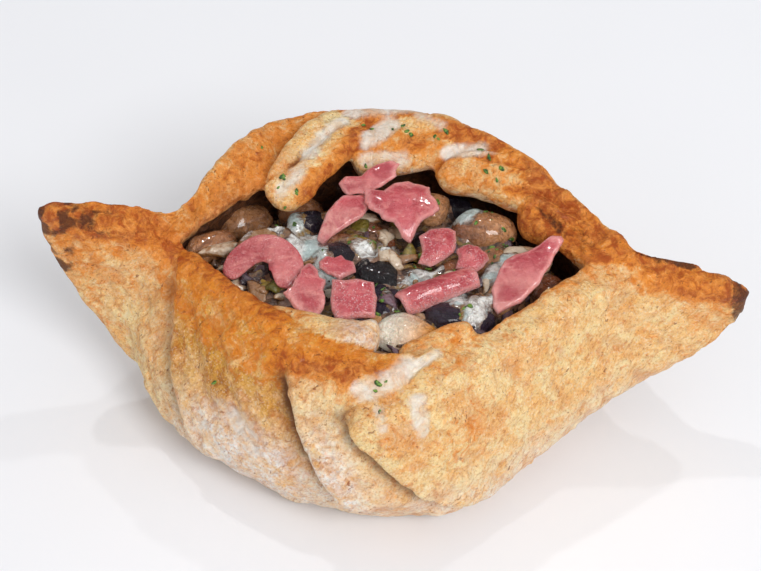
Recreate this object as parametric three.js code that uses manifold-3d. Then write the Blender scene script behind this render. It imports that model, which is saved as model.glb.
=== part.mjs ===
// An open filled pastry, about the length of a hand: a boat of wholewheat dough
// pinched to a point at each end, its front panels lapped over each other, its
// back edge folded in as rough tongues, and a heap of beans in sauce inside
// with pieces of pickled onion on top.
//
// Units are millimetres. X runs from the left tip to the right tip, Y towards
// the taller back wall and Z up. The origin is the middle of the flat foot.

import * as THREE from "three";
import { mergeVertices } from "three/addons/utils/BufferGeometryUtils.js";
import Module from "manifold-3d";

const wasm = await Module();
wasm.setup();

// ---------------------------------------------------------------- dimensions

// The crust is lofted through sixteen level loops. They run from the middle of
// the foot out and up the outside, over the crest, round the lip and down the
// inside to the middle of the floor. Each list has one value for each loop.
const CRUST = {
  // how far the loop reaches to the left and right tip
  left: [0, 40, 51, 65.5, 75.8, 81.5, 84, 83, 66, 52, 51, 52, 54, 46, 34, 0],
  right: [0, 36, 44, 61, 76, 82, 84.2, 83, 63, 47.5, 46.5, 48.5, 50, 42, 30, 0],
  // how far the full width reaches before only the pinched fin is left
  bodyLeft: [1, 40, 50, 62, 64, 59, 56, 54, 53, 52, 51, 52, 54, 46, 34, 1],
  bodyRight: [1, 36, 44, 59, 66, 63, 58, 57, 53, 47.5, 46.5, 48.5, 50, 42, 30, 1],
  // half width at the middle, front and back
  front: [0, 24, 32, 38.5, 42.5, 39.5, 34, 29, 26.5, 25, 25.5, 31.5, 36, 31, 22, 0],
  back: [0, 28, 35, 42, 47, 48.5, 47.5, 44.5, 38, 28, 28.5, 37, 41, 35, 26, 0],
  // how fast the width falls towards each tip, 0.5 being an ellipse
  pinchFrontLeft: [0.5, 0.5, 0.5, 0.56, 0.74, 0.9, 1, 1.1, 1.15, 1.2, 1.2, 1.1, 0.85, 0.65, 0.5, 0.5],
  pinchFrontRight: [0.5, 0.65, 1.0, 1.45, 1.75, 1.75, 1.5, 1.25, 1.2, 1.15, 1.15, 1.1, 1.1, 1, 0.7, 0.5],
  pinchBackLeft: [0.5, 0.5, 0.6, 0.85, 1.2, 1.55, 1.9, 1.95, 1.5, 1, 1, 0.9, 0.9, 0.75, 0.5, 0.5],
  pinchBackRight: [0.5, 0.5, 0.55, 0.75, 0.95, 1.15, 1.25, 1.3, 1.2, 1, 1, 0.9, 0.9, 0.75, 0.5, 0.5],
  // how square the back left shoulder is, 2 being plain round
  shoulder: [2, 2, 2, 2, 2.4, 3.4, 4.2, 4.6, 3.4, 2.4, 2.4, 2.2, 2, 2, 2, 2],
  // height at the front, at the back and at each tip
  zFront: [0, 0, 1.8, 9, 23, 38, 47, 51, 51, 49, 45.5, 41, 26, 11, 6, 6],
  zBack: [0, 0, 1.8, 9, 25, 44, 57, 62.5, 61.5, 58.5, 54.5, 50.5, 28, 11, 6, 6],
  zLeft: [0, 0, 3, 13, 27, 43, 54, 59, 57.5, 53, 49.5, 43, 28, 13, 6.5, 6],
  zRight: [0, 0, 4, 14, 27, 35.5, 41.5, 46.5, 51, 52, 48, 42, 28, 13, 6.5, 6],
  // half thickness of the pinched fin
  fin: [0, 0, 1, 5, 6, 5, 4.2, 3.2, 2, 0, 0, 0, 0, 0, 0, 0],
  // how much of the back edge's fold each loop takes up
  fold: [0, 0, 0, 0, 0, 0, 0, 0, 0.3, 1, 1, 0.6, 0, 0, 0, 0],
};
const LOOPS = CRUST.left.length;
const CREST = 7;
const MOUTH = 11;
const FLOOR_MIDDLE = LOOPS - 1;

// How softly the body's sides run into the fins, and over what share of the
// length the pinch changes from the left end's to the right end's.
const FIN_SOFTNESS = { share: 0.1, spread: 4 };
const END_BLEND = 0.35;
// The fin takes at most this share of the half width, and thins to the tip.
const FIN_SHARE = 0.6;
const FIN_THINS = 0.7;
// The loops over which the crest's dips come and go.
const CREST_BAND = { from: 4, full: 6.5, until: 8.6, gone: 9.8 };
// A size that stands for nothing, to divide by.
const TINY = 0.001;
// A small step along a path, to find its direction.
const NUDGE = 0.01;

// The long axis bends back towards both tips, more so higher up.
const BEND = { left: 7.5, right: 5, over: 55, height: 40, low: 0.3 };
// The back edge of the mouth is cut back between these angles, where the tongues
// lie. The cut sets in and runs out over the angles given.
const BACK_FOLD = { depth: 9, starts: 12, setsIn: 24, ends: 116, runsOut: 6 };
// The top line dips where the left fin starts, and along the back left lip.
const DIPS = [
  { x: -52, depth: 4, width: 8, atFront: 1 },
  { x: -26, depth: 3.6, width: 11, atFront: 0 },
];

// The front panels lie over each other. Each edge is a line of [x, z] on the
// front wall, read downwards, with the upper panel on its right.
const LAPS = [
  {
    edge: [
      [-3, 49.5], [-12, 48], [-19.5, 46], [-21, 43.5], [-19, 37], [-15.5, 30], [-11, 22], [-6, 14], [-1, 7],
    ],
    low: 10, step: 4.4, fades: 16, groove: 2.6,
  },
  {
    edge: [
      [14, 52], [5, 47.5], [-4, 44.5], [-6.5, 42], [-5, 39], [-0.5, 35.5], [6.5, 26.5], [15, 17], [23, 10],
      [27, 6],
    ],
    low: 3, step: 4.2, fades: 24, groove: 2.4,
  },
  {
    edge: [[-51, 50], [-52, 42], [-52, 33], [-50, 24], [-46, 15], [-43, 9]],
    low: 8, step: 2.2, fades: 10, groove: 2,
  },
];
// The step rises over rise millimetres and has a groove on both sides, the low
// side's wider. It fades out over fadeUp above its low end, tucks in under
// itself, and is made only where the wall faces the front.
const LAP_SHAPE = { rise: 1.1, lowSide: 4, highSide: 0.9, fadeUp: 8, droop: 0.15, tuck: 1.3 };
const FRONT_FACING = { from: 0.15, full: 0.45 };
// The front wall's loops: from a little above the foot to a little over the crest.
const WALL_BAND = { from: 1, full: 2.2, over: 0.2 };
// A corner of the right panel stands out, low on the front.
const LOW_CORNER = { x: 18, z: 6, height: 4.2, width: 8 };

// Tongues of dough: the folded back edge, and the rolled front edge. path is
// the middle line, width and thick the section along it, across its direction.
const TONGUES = [
  {
    path: [[-11, 43, 58], [-17, 36.5, 59.5], [-24, 27, 58], [-29, 17.2, 53]],
    width: [16, 15, 13, 11], thick: [6, 6, 6, 6.5],
    across: [[1, -0.5, -0.1], [1, -0.5, -0.2], [1, -0.5, -0.3], [1, -0.4, -0.3]],
  },
  {
    path: [[16, 40, 57], [6, 38.5, 58], [-3, 35.5, 57], [-11.5, 31.5, 54.5]],
    width: [14, 15, 13, 10], thick: [7, 7, 7, 7],
    across: [[0.2, -1, -0.3], [0.2, -1, -0.45], [0.1, -1, -0.55], [0, -1, -0.5]],
  },
  {
    path: [[39, 20.5, 52], [31, 27.5, 54.8], [20, 31.8, 55.8], [9, 31.5, 54.8]],
    width: [8, 12, 13, 11.5], thick: [6, 7, 7.5, 7.5],
    across: [[0.5, -1, -0.4], [0.4, -1, -0.45], [0.2, -1, -0.5], [0, -1, -0.5]],
  },
  {
    path: [[48, 8, 49], [42, 14.5, 51], [35.5, 19.5, 52], [30.5, 22, 52]],
    width: [6, 9, 10.5, 9.5], thick: [5, 7, 7, 6.5],
    across: [[-0.6, -1, -0.4], [-0.6, -1, -0.6], [-0.6, -1, -0.8], [-0.5, -1, -0.8]],
  },
  {
    path: [[-30, -12.5, 46.5], [-17, -18.8, 48.5], [-8, -20.3, 49.5], [-1.8, -20.6, 49.7]],
    width: [7, 8, 8.5, 8], thick: [6, 6.5, 7.5, 7.5],
    across: [[0.3, -1, 0], [0.2, -1, 0], [0, -1, 0.1], [0, -1, 0.2]],
  },
  {
    path: [[4, -24, 46], [9.5, -22.5, 48.8], [15, -19.8, 50], [20.5, -16.5, 50.3]],
    width: [6, 5.5, 5.5, 5], thick: [5, 5, 5, 5],
    across: [[0, -1, 0], [0, -1, 0], [0, -1, 0], [0, -1, 0]],
  },
];
const TONGUE_SQUARENESS = 2.6;
// How far from its end a tongue starts to round off, in half widths and half thicknesses.
const TONGUE_ROUNDING = { width: 0.9, thick: 1.2 };

// The heap of filling reaches the wall at this loop, and rises to the middle.
const HEAP = {
  rimLoop: 11.5, inset: 0.96, middle: [-2, 2], height: 48,
  // it falls by this much over this reach along X and Y, joining the wall steeply
  fall: 8, reach: [50, 34], steepness: 3,
  bump: 1.3, bumpLength: 12, wander: 1.3, sway: 0.6, shift: 0.8,
};
const GAP = 0.5;
const ONION_GAP = 0.9;

// Pickled onion: at is the middle, turn the yaw, pitch and roll in degrees.
// curl bends it across its width and bow along its length, both as rises.
// taper narrows one end.
// endPower and sidePower make its outline square or round, and edgePower its
// edge; it narrows from narrowsFrom on, the ends being at -1 and 1.
const ONION_THICKNESS = 1.9;
const ONION_SHAPE = { endPower: 6, sidePower: 0.7, edgePower: 0.4, narrowsFrom: -0.6 };
const ONIONS = [
  {
    name: "onion_petal_large",
    at: [1.5, 19, 53.4], size: [18, 14.5], turn: [0, 6, 20],
    curl: 2.2, bow: 1.6, taper: 0.1,
  },
  {
    name: "onion_strip_back",
    at: [-12.2, 17.4, 51.5], size: [17, 6.5], turn: [50, 6, 26],
    curl: 1.6, bow: 1, taper: 0.3,
  },
  {
    name: "onion_tip_back",
    at: [-8.2, 25.3, 57.1], size: [11, 5.5], turn: [24, -6, 30],
    curl: 1.4, bow: 1.2, taper: 0.4,
  },
  {
    name: "onion_square_middle",
    at: [10.8, 8.6, 50.9], size: [8.6, 8], turn: [0, 8, 20],
    curl: 1.2, bow: 0.8, taper: 0,
  },
  {
    name: "onion_curl",
    at: [19.2, 5.6, 50.6], size: [7.6, 6.4], turn: [0, 0, 18],
    curl: 1, bow: 1.5, taper: 0.2,
  },
  {
    name: "onion_strip_front",
    at: [11.6, -4.6, 50.2], size: [20, 6.5], turn: [26, -4, 16],
    curl: 2.4, bow: 1.2, taper: 0.1,
  },
  {
    name: "onion_petal_right",
    at: [31.2, 0.2, 51.2], size: [24, 8.5], turn: [52, -6, 18],
    curl: 1.6, bow: 1.2, taper: 0.6,
  },
  {
    name: "onion_curl_left",
    at: [-31.5, 1, 49.3], size: [17, 6], turn: [-28, 0, 10],
    curl: 1, bow: 4.5, taper: 0.1,
  },
  {
    name: "onion_piece_left",
    at: [-19.2, -7.4, 49.6], size: [13, 7.5], turn: [-70, 4, 8],
    curl: 1.8, bow: 0.8, taper: 0.3,
  },
  {
    name: "onion_piece_small",
    at: [-12.8, 1.3, 50], size: [8, 5], turn: [0, 4, 12],
    curl: 0.9, bow: 0.7, taper: 0.3,
  },
  {
    name: "onion_square_front",
    at: [-8, -9.2, 50], size: [10.5, 9.5], turn: [0, 3, 20],
    curl: 0.9, bow: 0.9, taper: 0,
  },
];

// How finely each form is divided.
const STEPS = {
  // steps for each of the crust's loops, outside and inside the mouth
  crustOutside: 3, crustInside: 2,
  // sideFocus draws the steps round the boat together at the middle of its sides
  crustRound: 72, sideFocus: 0.18,
  tongueLength: 10, tongueRound: 10,
  heapWall: 5, heapTop: 9, heapRound: 40,
  onionLength: 6, onionWidth: 4,
};

// --------------------------------------------------------------- small tools

const clamp01 = (x) => Math.min(1, Math.max(0, x));
const smooth = (x) => clamp01(x) ** 2 * (3 - 2 * clamp01(x));
const band = (x, from, full) => smooth((x - from) / (full - from));
const signedPower = (x, power) => Math.sign(x) * Math.abs(x) ** power;
const degrees = (angle) => THREE.MathUtils.radToDeg(angle);

// A smooth curve through evenly spaced values.
function through(values, s) {
  const last = values.length - 1;
  const i = Math.min(Math.max(Math.floor(s), 0), last - 1);
  const f = s - i;
  const value = (k) => values[Math.min(Math.max(k, 0), last)];
  const startSlope = (value(i + 1) - value(i - 1)) / 2;
  const endSlope = (value(i + 2) - value(i)) / 2;
  const f2 = f * f;
  const f3 = f2 * f;
  return (2 * f3 - 3 * f2 + 1) * value(i) + (f3 - 2 * f2 + f) * startSlope
    + (3 * f2 - 2 * f3) * value(i + 1) + (f3 - f2) * endSlope;
}

const vectorThrough = (points, s) =>
  new THREE.Vector3(...[0, 1, 2].map((axis) => through(points.map((p) => p[axis]), s)));

// Closes a stack of loops, whose first and last shrink to a point, into a geometry.
function loft(rows) {
  const around = rows[0].length;
  const inner = rows.slice(1, -1);
  const middle = (row) => row.reduce((sum, p) => sum.add(p), new THREE.Vector3()).divideScalar(row.length);
  const points = [middle(rows[0]), ...inner.flat(), middle(rows[rows.length - 1])];
  const last = points.length - 1;
  const at = (row, k) => 1 + row * around + (k % around);
  const index = [];
  for (let k = 0; k < around; k++) {
    index.push(0, at(0, k + 1), at(0, k));
    for (let row = 0; row < inner.length - 1; row++) {
      index.push(at(row, k), at(row, k + 1), at(row + 1, k + 1));
      index.push(at(row, k), at(row + 1, k + 1), at(row + 1, k));
    }
    index.push(last, at(inner.length - 1, k), at(inner.length - 1, k + 1));
  }
  const geometry = new THREE.BufferGeometry().setFromPoints(points);
  geometry.setIndex(index);
  return geometry;
}

function toSolid(geometry) {
  const merged = mergeVertices(geometry);
  const solid = new wasm.Manifold(new wasm.Mesh({
    numProp: 3,
    vertProperties: new Float32Array(merged.attributes.position.array),
    triVerts: new Uint32Array(merged.index.array),
  }));
  return solid;
}

function toGeometry(solid) {
  const mesh = solid.getMesh();
  const geometry = new THREE.BufferGeometry();
  geometry.setAttribute("position", new THREE.BufferAttribute(new Float32Array(mesh.vertProperties), 3));
  geometry.setIndex(new THREE.BufferAttribute(new Uint32Array(mesh.triVerts), 1));
  geometry.computeVertexNormals();
  return geometry;
}

// --------------------------------------------------------------------- crust

// How far the mouth's back edge is cut back at this angle round the boat.
function backFold(angle) {
  const turn = degrees(angle);
  const begun = smooth((turn - BACK_FOLD.starts) / BACK_FOLD.setsIn);
  const ended = smooth((turn - BACK_FOLD.ends) / BACK_FOLD.runsOut);
  return BACK_FOLD.depth * begun * (1 - ended);
}

// A point of the crust before the panels are lapped. s counts the loops, and
// angle runs from the right tip (0) over the back (90 degrees) to the left tip.
function crustPoint(s, angle) {
  const size = (name) => through(CRUST[name], s);
  const c = Math.cos(angle);
  const n = Math.sin(angle);
  const isLeft = c < 0;
  const isBack = n > 0;
  const reach = isLeft ? size("left") : size("right");
  const body = Math.max(isLeft ? size("bodyLeft") : size("bodyRight"), TINY);
  const x = c * reach;

  // the share of the full width that is left this far along
  const power = isLeft && isBack ? size("shoulder") : 2;
  const sharp = 1 - Math.abs(x / body) ** power;
  const finned = Math.min(1, FIN_SOFTNESS.spread * (reach / body - 1));
  const softness = Math.max(FIN_SOFTNESS.share * finned, TINY / 10);
  const share = (sharp + Math.hypot(sharp, softness)) / 2;
  const toRight = smooth((c + END_BLEND) / (2 * END_BLEND));
  const pinch = isBack
    ? THREE.MathUtils.lerp(size("pinchBackLeft"), size("pinchBackRight"), toRight)
    : THREE.MathUtils.lerp(size("pinchFrontLeft"), size("pinchFrontRight"), toRight);
  const half = isBack ? size("back") + size("fold") * backFold(angle) : size("front");
  const fin = Math.min(size("fin"), FIN_SHARE * half);
  const width = (half - fin) * (share < TINY ? 0 : share ** pinch) + fin * Math.abs(n) ** FIN_THINS;

  const zSide = isBack ? size("zBack") : size("zFront");
  const zTip = isLeft ? size("zLeft") : size("zRight");
  let z = zSide * n * n + zTip * c * c;
  const nearCrest = band(s, CREST_BAND.from, CREST_BAND.full)
    * (1 - band(s, CREST_BAND.until, CREST_BAND.gone));
  for (const dip of DIPS) {
    const here = Math.exp(-(((x - dip.x) / dip.width) ** 2)) * (isBack ? 1 : dip.atFront);
    z -= dip.depth * here * nearCrest;
  }
  const bend = (isLeft ? BEND.left : BEND.right) * smooth(Math.abs(x) / BEND.over);
  const y = Math.sign(n) * width + bend * (BEND.low + (1 - BEND.low) * smooth(z / BEND.height));
  return new THREE.Vector3(x, y, Math.max(z, 0));
}

// Signed distance from an edge in the x-z plane, positive on its right.
function besideEdge(edge, x, z) {
  let nearest = Infinity;
  let side = 1;
  for (let k = 0; k < edge.length - 1; k++) {
    const [x0, z0] = edge[k];
    const dx = edge[k + 1][0] - x0;
    const dz = edge[k + 1][1] - z0;
    const along = clamp01(((x - x0) * dx + (z - z0) * dz) / (dx * dx + dz * dz));
    const distance = Math.hypot(x - x0 - along * dx, z - z0 - along * dz);
    if (distance < nearest) {
      nearest = distance;
      side = Math.sign(dx * (z - z0) - dz * (x - x0));
    }
  }
  return nearest * side;
}

// Lays the front panels over each other, each edge a step with a groove beside it.
function lapPanels(point, s, angle) {
  const facing = band(-Math.sin(angle), FRONT_FACING.from, FRONT_FACING.full);
  const onWall = facing * band(s, WALL_BAND.from, WALL_BAND.full) * (1 - smooth(s - CREST - WALL_BAND.over));
  const lapped = point.clone();
  if (onWall === 0) {
    return lapped;
  }
  for (const lap of LAPS) {
    const beside = besideEdge(lap.edge, point.x, point.z);
    const share = onWall * smooth((point.z - lap.low) / LAP_SHAPE.fadeUp);
    const raised = smooth(beside / LAP_SHAPE.rise + 1 / 2) * Math.exp(-Math.max(beside, 0) / lap.fades);
    const away = beside < 0 ? -beside / LAP_SHAPE.lowSide : beside / LAP_SHAPE.highSide;
    const groove = lap.groove * Math.exp(-away);
    const out = share * (lap.step * raised - groove);
    lapped.y -= out;
    lapped.z -= LAP_SHAPE.droop * out;
    lapped.x -= share * Math.exp(-(((beside - 1) / LAP_SHAPE.tuck) ** 2));
  }
  const fromCorner = Math.hypot(point.x - LOW_CORNER.x, point.z - LOW_CORNER.z) / LOW_CORNER.width;
  lapped.y -= onWall * LOW_CORNER.height * Math.exp(-(fromCorner ** 2));
  return lapped;
}

function crustShell() {
  const angles = Array.from({ length: STEPS.crustRound }, (_, k) => {
    const even = (k / STEPS.crustRound) * 2 * Math.PI;
    return even + STEPS.sideFocus * Math.sin(2 * even);
  });
  const outside = MOUTH * STEPS.crustOutside;
  const inside = (FLOOR_MIDDLE - MOUTH) * STEPS.crustInside;
  const rows = [];
  for (let i = 0; i <= outside + inside; i++) {
    const s = i <= outside ? i / STEPS.crustOutside : MOUTH + (i - outside) / STEPS.crustInside;
    rows.push(angles.map((angle) => lapPanels(crustPoint(s, angle), s, angle)));
  }
  return loft(rows);
}

// A flat, round-ended roll of dough along a path. grow fattens it all over.
function tongueGeometry({ path, width, thick, across }, grow = 0) {
  const last = path.length - 1;
  const steps = STEPS.tongueLength;
  const rows = [];
  const length = vectorThrough(path, 0).distanceTo(vectorThrough(path, last));
  for (let i = 0; i <= steps; i++) {
    // closer steps near the ends, where the section rounds off
    const u = (last * (1 - Math.cos((i / steps) * Math.PI))) / 2;
    const middle = vectorThrough(path, u);
    const next = vectorThrough(path, Math.min(u + NUDGE, last));
    const ahead = next.sub(vectorThrough(path, Math.max(u - NUDGE, 0))).normalize();
    const side = vectorThrough(across, u);
    side.addScaledVector(ahead, -side.dot(ahead)).normalize();
    const up = new THREE.Vector3().crossVectors(ahead, side);
    const fromEnd = (Math.min(u, last - u) / last) * length;
    const round = (radius) => Math.sqrt(1 - (1 - clamp01(fromEnd / radius)) ** 2);
    const halfWidth = through(width, u) / 2 + grow;
    const halfThick = through(thick, u) / 2 + grow;
    middle.addScaledVector(ahead, (2 * grow * (u - last / 2)) / last);
    const row = [];
    for (let k = 0; k < STEPS.tongueRound; k++) {
      const a = (k / STEPS.tongueRound) * 2 * Math.PI;
      const sideways = signedPower(Math.cos(a), 2 / TONGUE_SQUARENESS);
      const upwards = signedPower(Math.sin(a), 2 / TONGUE_SQUARENESS);
      row.push(middle.clone()
        .addScaledVector(side, halfWidth * round(halfWidth * TONGUE_ROUNDING.width) * sideways)
        .addScaledVector(up, halfThick * round(halfThick * TONGUE_ROUNDING.thick) * upwards));
    }
    rows.push(row);
  }
  return loft(rows);
}

// ------------------------------------------------------------------- filling

function heapHeight(x, y) {
  const round = Math.hypot((x - HEAP.middle[0]) / HEAP.reach[0], (y - HEAP.middle[1]) / HEAP.reach[1]);
  const wave = (2 * Math.PI) / HEAP.bumpLength;
  const wander = HEAP.wander * Math.sin(wave * y * HEAP.sway);
  const bumps = Math.sin(wave * x + wander) * Math.cos(wave * y + HEAP.shift);
  return HEAP.height - HEAP.fall * round ** 2 + HEAP.bump * bumps;
}

// A point a little inside the cavity's wall.
function insideWall(s, angle) {
  const wall = crustPoint(s, angle);
  return new THREE.Vector3(wall.x * HEAP.inset, wall.y * HEAP.inset, wall.z + GAP);
}

// The heap: from the middle of the floor up the wall, then over its bumpy top.
function heapGeometry() {
  const rows = [];
  const angles = Array.from({ length: STEPS.heapRound }, (_, k) => (k / STEPS.heapRound) * 2 * Math.PI);
  const floor = new THREE.Vector3(HEAP.middle[0], HEAP.middle[1], CRUST.zBack[FLOOR_MIDDLE] + GAP);
  rows.push(angles.map(() => floor.clone()));
  for (let i = 0; i <= STEPS.heapWall; i++) {
    const s = THREE.MathUtils.lerp(FLOOR_MIDDLE - 1, HEAP.rimLoop, i / STEPS.heapWall);
    rows.push(angles.map((angle) => insideWall(s, angle)));
  }
  const rim = rows[rows.length - 1];
  for (let i = 1; i <= STEPS.heapTop; i++) {
    const inwards = i / STEPS.heapTop;
    rows.push(rim.map((point) => {
      const x = THREE.MathUtils.lerp(point.x, HEAP.middle[0], inwards);
      const y = THREE.MathUtils.lerp(point.y, HEAP.middle[1], inwards);
      const z = THREE.MathUtils.lerp(point.z, heapHeight(x, y), smooth(HEAP.steepness * inwards));
      return new THREE.Vector3(x, y, z);
    }));
  }
  return loft(rows);
}

// --------------------------------------------------------------------- onion

// A curved flake with a rounded outline and thin edges. grow fattens it all over.
function onionGeometry({ size, curl, bow, taper }, grow = 0) {
  const rows = [];
  const round = 2 * (STEPS.onionWidth + 1);
  for (let i = 0; i <= STEPS.onionLength; i++) {
    const u = -Math.cos((i / STEPS.onionLength) * Math.PI);
    const endCut = Math.sqrt(Math.max(1 - Math.abs(u) ** ONION_SHAPE.endPower, 0));
    const width = (size[1] / 2) * (1 - taper * band(u, ONION_SHAPE.narrowsFrom, 1)) + grow;
    const row = [];
    for (let k = 0; k < round; k++) {
      const a = (k / round) * 2 * Math.PI;
      const v = signedPower(Math.cos(a), ONION_SHAPE.sidePower);
      const h = signedPower(Math.sin(a), ONION_SHAPE.edgePower);
      const x = u * (size[0] / 2 + grow);
      const y = v * width * endCut;
      const middle = curl * (1 / 2 - v * v) + bow * (1 / 2 - u * u);
      const thick = (ONION_THICKNESS / 2 + grow) * Math.sqrt(endCut);
      row.push(new THREE.Vector3(x, y, middle + h * thick));
    }
    rows.push(row);
  }
  return loft(rows);
}

function placeOnion(object, { at, turn }) {
  const [yaw, pitch, roll] = turn.map(THREE.MathUtils.degToRad);
  object.position.set(...at);
  object.rotation.set(roll, pitch, yaw, "ZYX");
  object.updateMatrix();
  return object;
}

function onionSolid(onion, grow) {
  const placed = placeOnion(new THREE.Object3D(), onion);
  const geometry = onionGeometry(onion, grow);
  geometry.applyMatrix4(placed.matrix);
  return toSolid(geometry);
}

// ------------------------------------------------------------------ assembly

const materials = {
  crust: new THREE.MeshStandardMaterial({ color: 0xc69a62, roughness: 0.75, metalness: 0 }),
  filling: new THREE.MeshStandardMaterial({ color: 0x8d7660, roughness: 0.4, metalness: 0 }),
  onion: new THREE.MeshStandardMaterial({ color: 0xc9707f, roughness: 0.3, metalness: 0 }),
};

function namedMesh(name, geometry, material) {
  const mesh = new THREE.Mesh(geometry, material.clone());
  mesh.name = name;
  return mesh;
}

function makeCrust() {
  let solid = toSolid(crustShell());
  for (const tongue of TONGUES) {
    solid = solid.add(toSolid(tongueGeometry(tongue)));
  }
  return namedMesh("crust", toGeometry(solid), materials.crust);
}

function makeFilling() {
  let solid = toSolid(heapGeometry());
  for (const tongue of TONGUES) {
    solid = solid.subtract(toSolid(tongueGeometry(tongue, GAP)));
  }
  for (const onion of ONIONS) {
    solid = solid.subtract(onionSolid(onion, ONION_GAP));
  }
  return namedMesh("filling", toGeometry(solid), materials.filling);
}

function makeOnion(onion) {
  const mesh = namedMesh(onion.name, onionGeometry(onion), materials.onion);
  return placeOnion(mesh, onion);
}

const group = new THREE.Group();
group.add(makeCrust());
group.add(makeFilling());
for (const onion of ONIONS) {
  group.add(makeOnion(onion));
}

export default group;
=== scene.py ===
"""An open filled pastry: a baked wholewheat boat holding beans in sauce, with pickled onion.

Lengths are in millimetres and are turned into metres where meshes are made.
X runs from the left tip to the right tip, Y towards the back and Z up.
"""
import math

import bpy
import numpy as np
from mathutils import Matrix, Vector
from mathutils.bvhtree import BVHTree
from mathutils.kdtree import KDTree


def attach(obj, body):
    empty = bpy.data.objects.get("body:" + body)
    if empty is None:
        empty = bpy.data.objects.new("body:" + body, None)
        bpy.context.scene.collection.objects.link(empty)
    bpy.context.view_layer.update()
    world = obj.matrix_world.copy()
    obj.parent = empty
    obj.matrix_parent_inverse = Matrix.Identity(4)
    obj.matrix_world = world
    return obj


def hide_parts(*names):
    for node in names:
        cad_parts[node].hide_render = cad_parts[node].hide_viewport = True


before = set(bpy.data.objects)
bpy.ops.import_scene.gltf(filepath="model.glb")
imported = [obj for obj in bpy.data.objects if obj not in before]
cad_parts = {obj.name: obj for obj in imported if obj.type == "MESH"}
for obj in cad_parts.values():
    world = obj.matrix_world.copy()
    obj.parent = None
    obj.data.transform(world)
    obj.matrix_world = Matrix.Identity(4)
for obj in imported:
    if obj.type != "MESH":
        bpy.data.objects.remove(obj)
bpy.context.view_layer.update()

MM = 0.001
BODY = "root"


# ---------------------------------------------------------------- small tools

def smooth(x):
    """0 below 0, 1 above 1, and an S curve between."""
    x = np.clip(x, 0.0, 1.0)
    return x * x * (3 - 2 * x)


def bell(x, width):
    """1 at x = 0, falling away over the width."""
    return np.exp(-(np.asarray(x) / width) ** 2)


def through(values, s):
    """A smooth curve through evenly spaced values."""
    v = np.asarray(values, float)
    last = len(v) - 1
    i = np.clip(np.floor(s).astype(int), 0, last - 1)
    f = s - i
    a, b, c, d = (v[np.clip(i + k, 0, last)] for k in (-1, 0, 1, 2))
    m0, m1 = (c - a) / 2, (d - b) / 2
    return ((2 * f**3 - 3 * f**2 + 1) * b + (f**3 - 2 * f**2 + f) * m0
            + (3 * f**2 - 2 * f**3) * c + (f**3 - f**2) * m1)


def path_through(points, s):
    points = np.asarray(points, float)
    return np.stack([through(points[:, axis], s) for axis in range(3)], -1)


def unit(v):
    return v / np.maximum(np.linalg.norm(v, axis=-1, keepdims=True), 1e-9)


def lattice(ix, iy, iz, seed):
    """A fixed random number from 0 to 1 for each whole-number place."""
    h = (ix * 73856093) ^ (iy * 19349663) ^ (iz * 83492791) ^ (seed * 2654435761)
    h = (h ^ (h >> 13)) * 1274126177
    h = h & 0x7FFFFFFF
    h = ((h ^ (h >> 11)) * 668265263) & 0x7FFFFFFF
    return ((h ^ (h >> 15)) & 0xFFFFFF) / float(0xFFFFFF)


def noise(p, size, seed):
    """Smooth noise from -1 to 1 whose lumps are about this size."""
    q = np.asarray(p, float) / np.asarray(size, float)
    base = np.floor(q).astype(np.int64)
    f = q - base
    f = f * f * (3 - 2 * f)
    total = 0.0
    for dx in (0, 1):
        for dy in (0, 1):
            for dz in (0, 1):
                weight = (np.where(dx, f[..., 0], 1 - f[..., 0]) * np.where(dy, f[..., 1], 1 - f[..., 1])
                          * np.where(dz, f[..., 2], 1 - f[..., 2]))
                corner = lattice(base[..., 0] + dx, base[..., 1] + dy, base[..., 2] + dz, seed)
                total = total + weight * corner
    return 2 * total - 1


def layered(p, size, seed, layers=3):
    """Noise with finer, weaker noise laid over it."""
    size = np.asarray(size, float)
    total, weight = 0.0, 1.0
    for layer in range(layers):
        total = total + weight * noise(p, size / 2**layer, seed + 17 * layer)
        weight *= 0.5
    return total / 1.5


def loft(rows):
    """Closes a stack of loops, whose first and last shrink to a point. Returns vertices and faces."""
    rows = np.asarray(rows, float)
    count, around = rows.shape[:2]
    verts = np.concatenate([rows[0].mean(0)[None], rows[1:-1].reshape(-1, 3), rows[-1].mean(0)[None]])
    k = np.arange(around)
    nxt = (k + 1) % around
    faces = [(0, 1 + b, 1 + a) for a, b in zip(k, nxt)]
    for i in range(count - 3):
        low, high = 1 + i * around, 1 + (i + 1) * around
        faces += [(low + a, low + b, high + b, high + a) for a, b in zip(k, nxt)]
    top, last = 1 + (count - 3) * around, len(verts) - 1
    faces += [(last, top + a, top + b) for a, b in zip(k, nxt)]
    return verts, faces


def make_mesh(name, verts, faces):
    mesh = bpy.data.meshes.new(name)
    mesh.from_pydata((np.asarray(verts) * MM).tolist(), [], [tuple(int(i) for i in f) for f in faces])
    mesh.update()
    return mesh


def make_object(name, mesh, material=None):
    thing = bpy.data.objects.new(name, mesh)
    bpy.context.scene.collection.objects.link(thing)
    if material is not None:
        mesh.materials.append(material)
    mesh.polygons.foreach_set("use_smooth", np.ones(len(mesh.polygons), bool))
    mesh.update()
    return thing


def points_of(mesh):
    flat = np.empty(3 * len(mesh.vertices))
    mesh.vertices.foreach_get("co", flat)
    return flat.reshape(-1, 3) / MM


def set_points(mesh, points):
    mesh.vertices.foreach_set("co", (np.asarray(points) * MM).ravel())
    mesh.update()


def normals_of(mesh):
    flat = np.empty(3 * len(mesh.vertices))
    mesh.vertices.foreach_get("normal", flat)
    return flat.reshape(-1, 3)


def set_mask(mesh, name, values):
    """Stores one number for each vertex, for the material to read."""
    layer = mesh.attributes.new(name, "FLOAT", "POINT")
    layer.data.foreach_set("value", np.clip(values, 0, 1).astype(np.float32))


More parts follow.
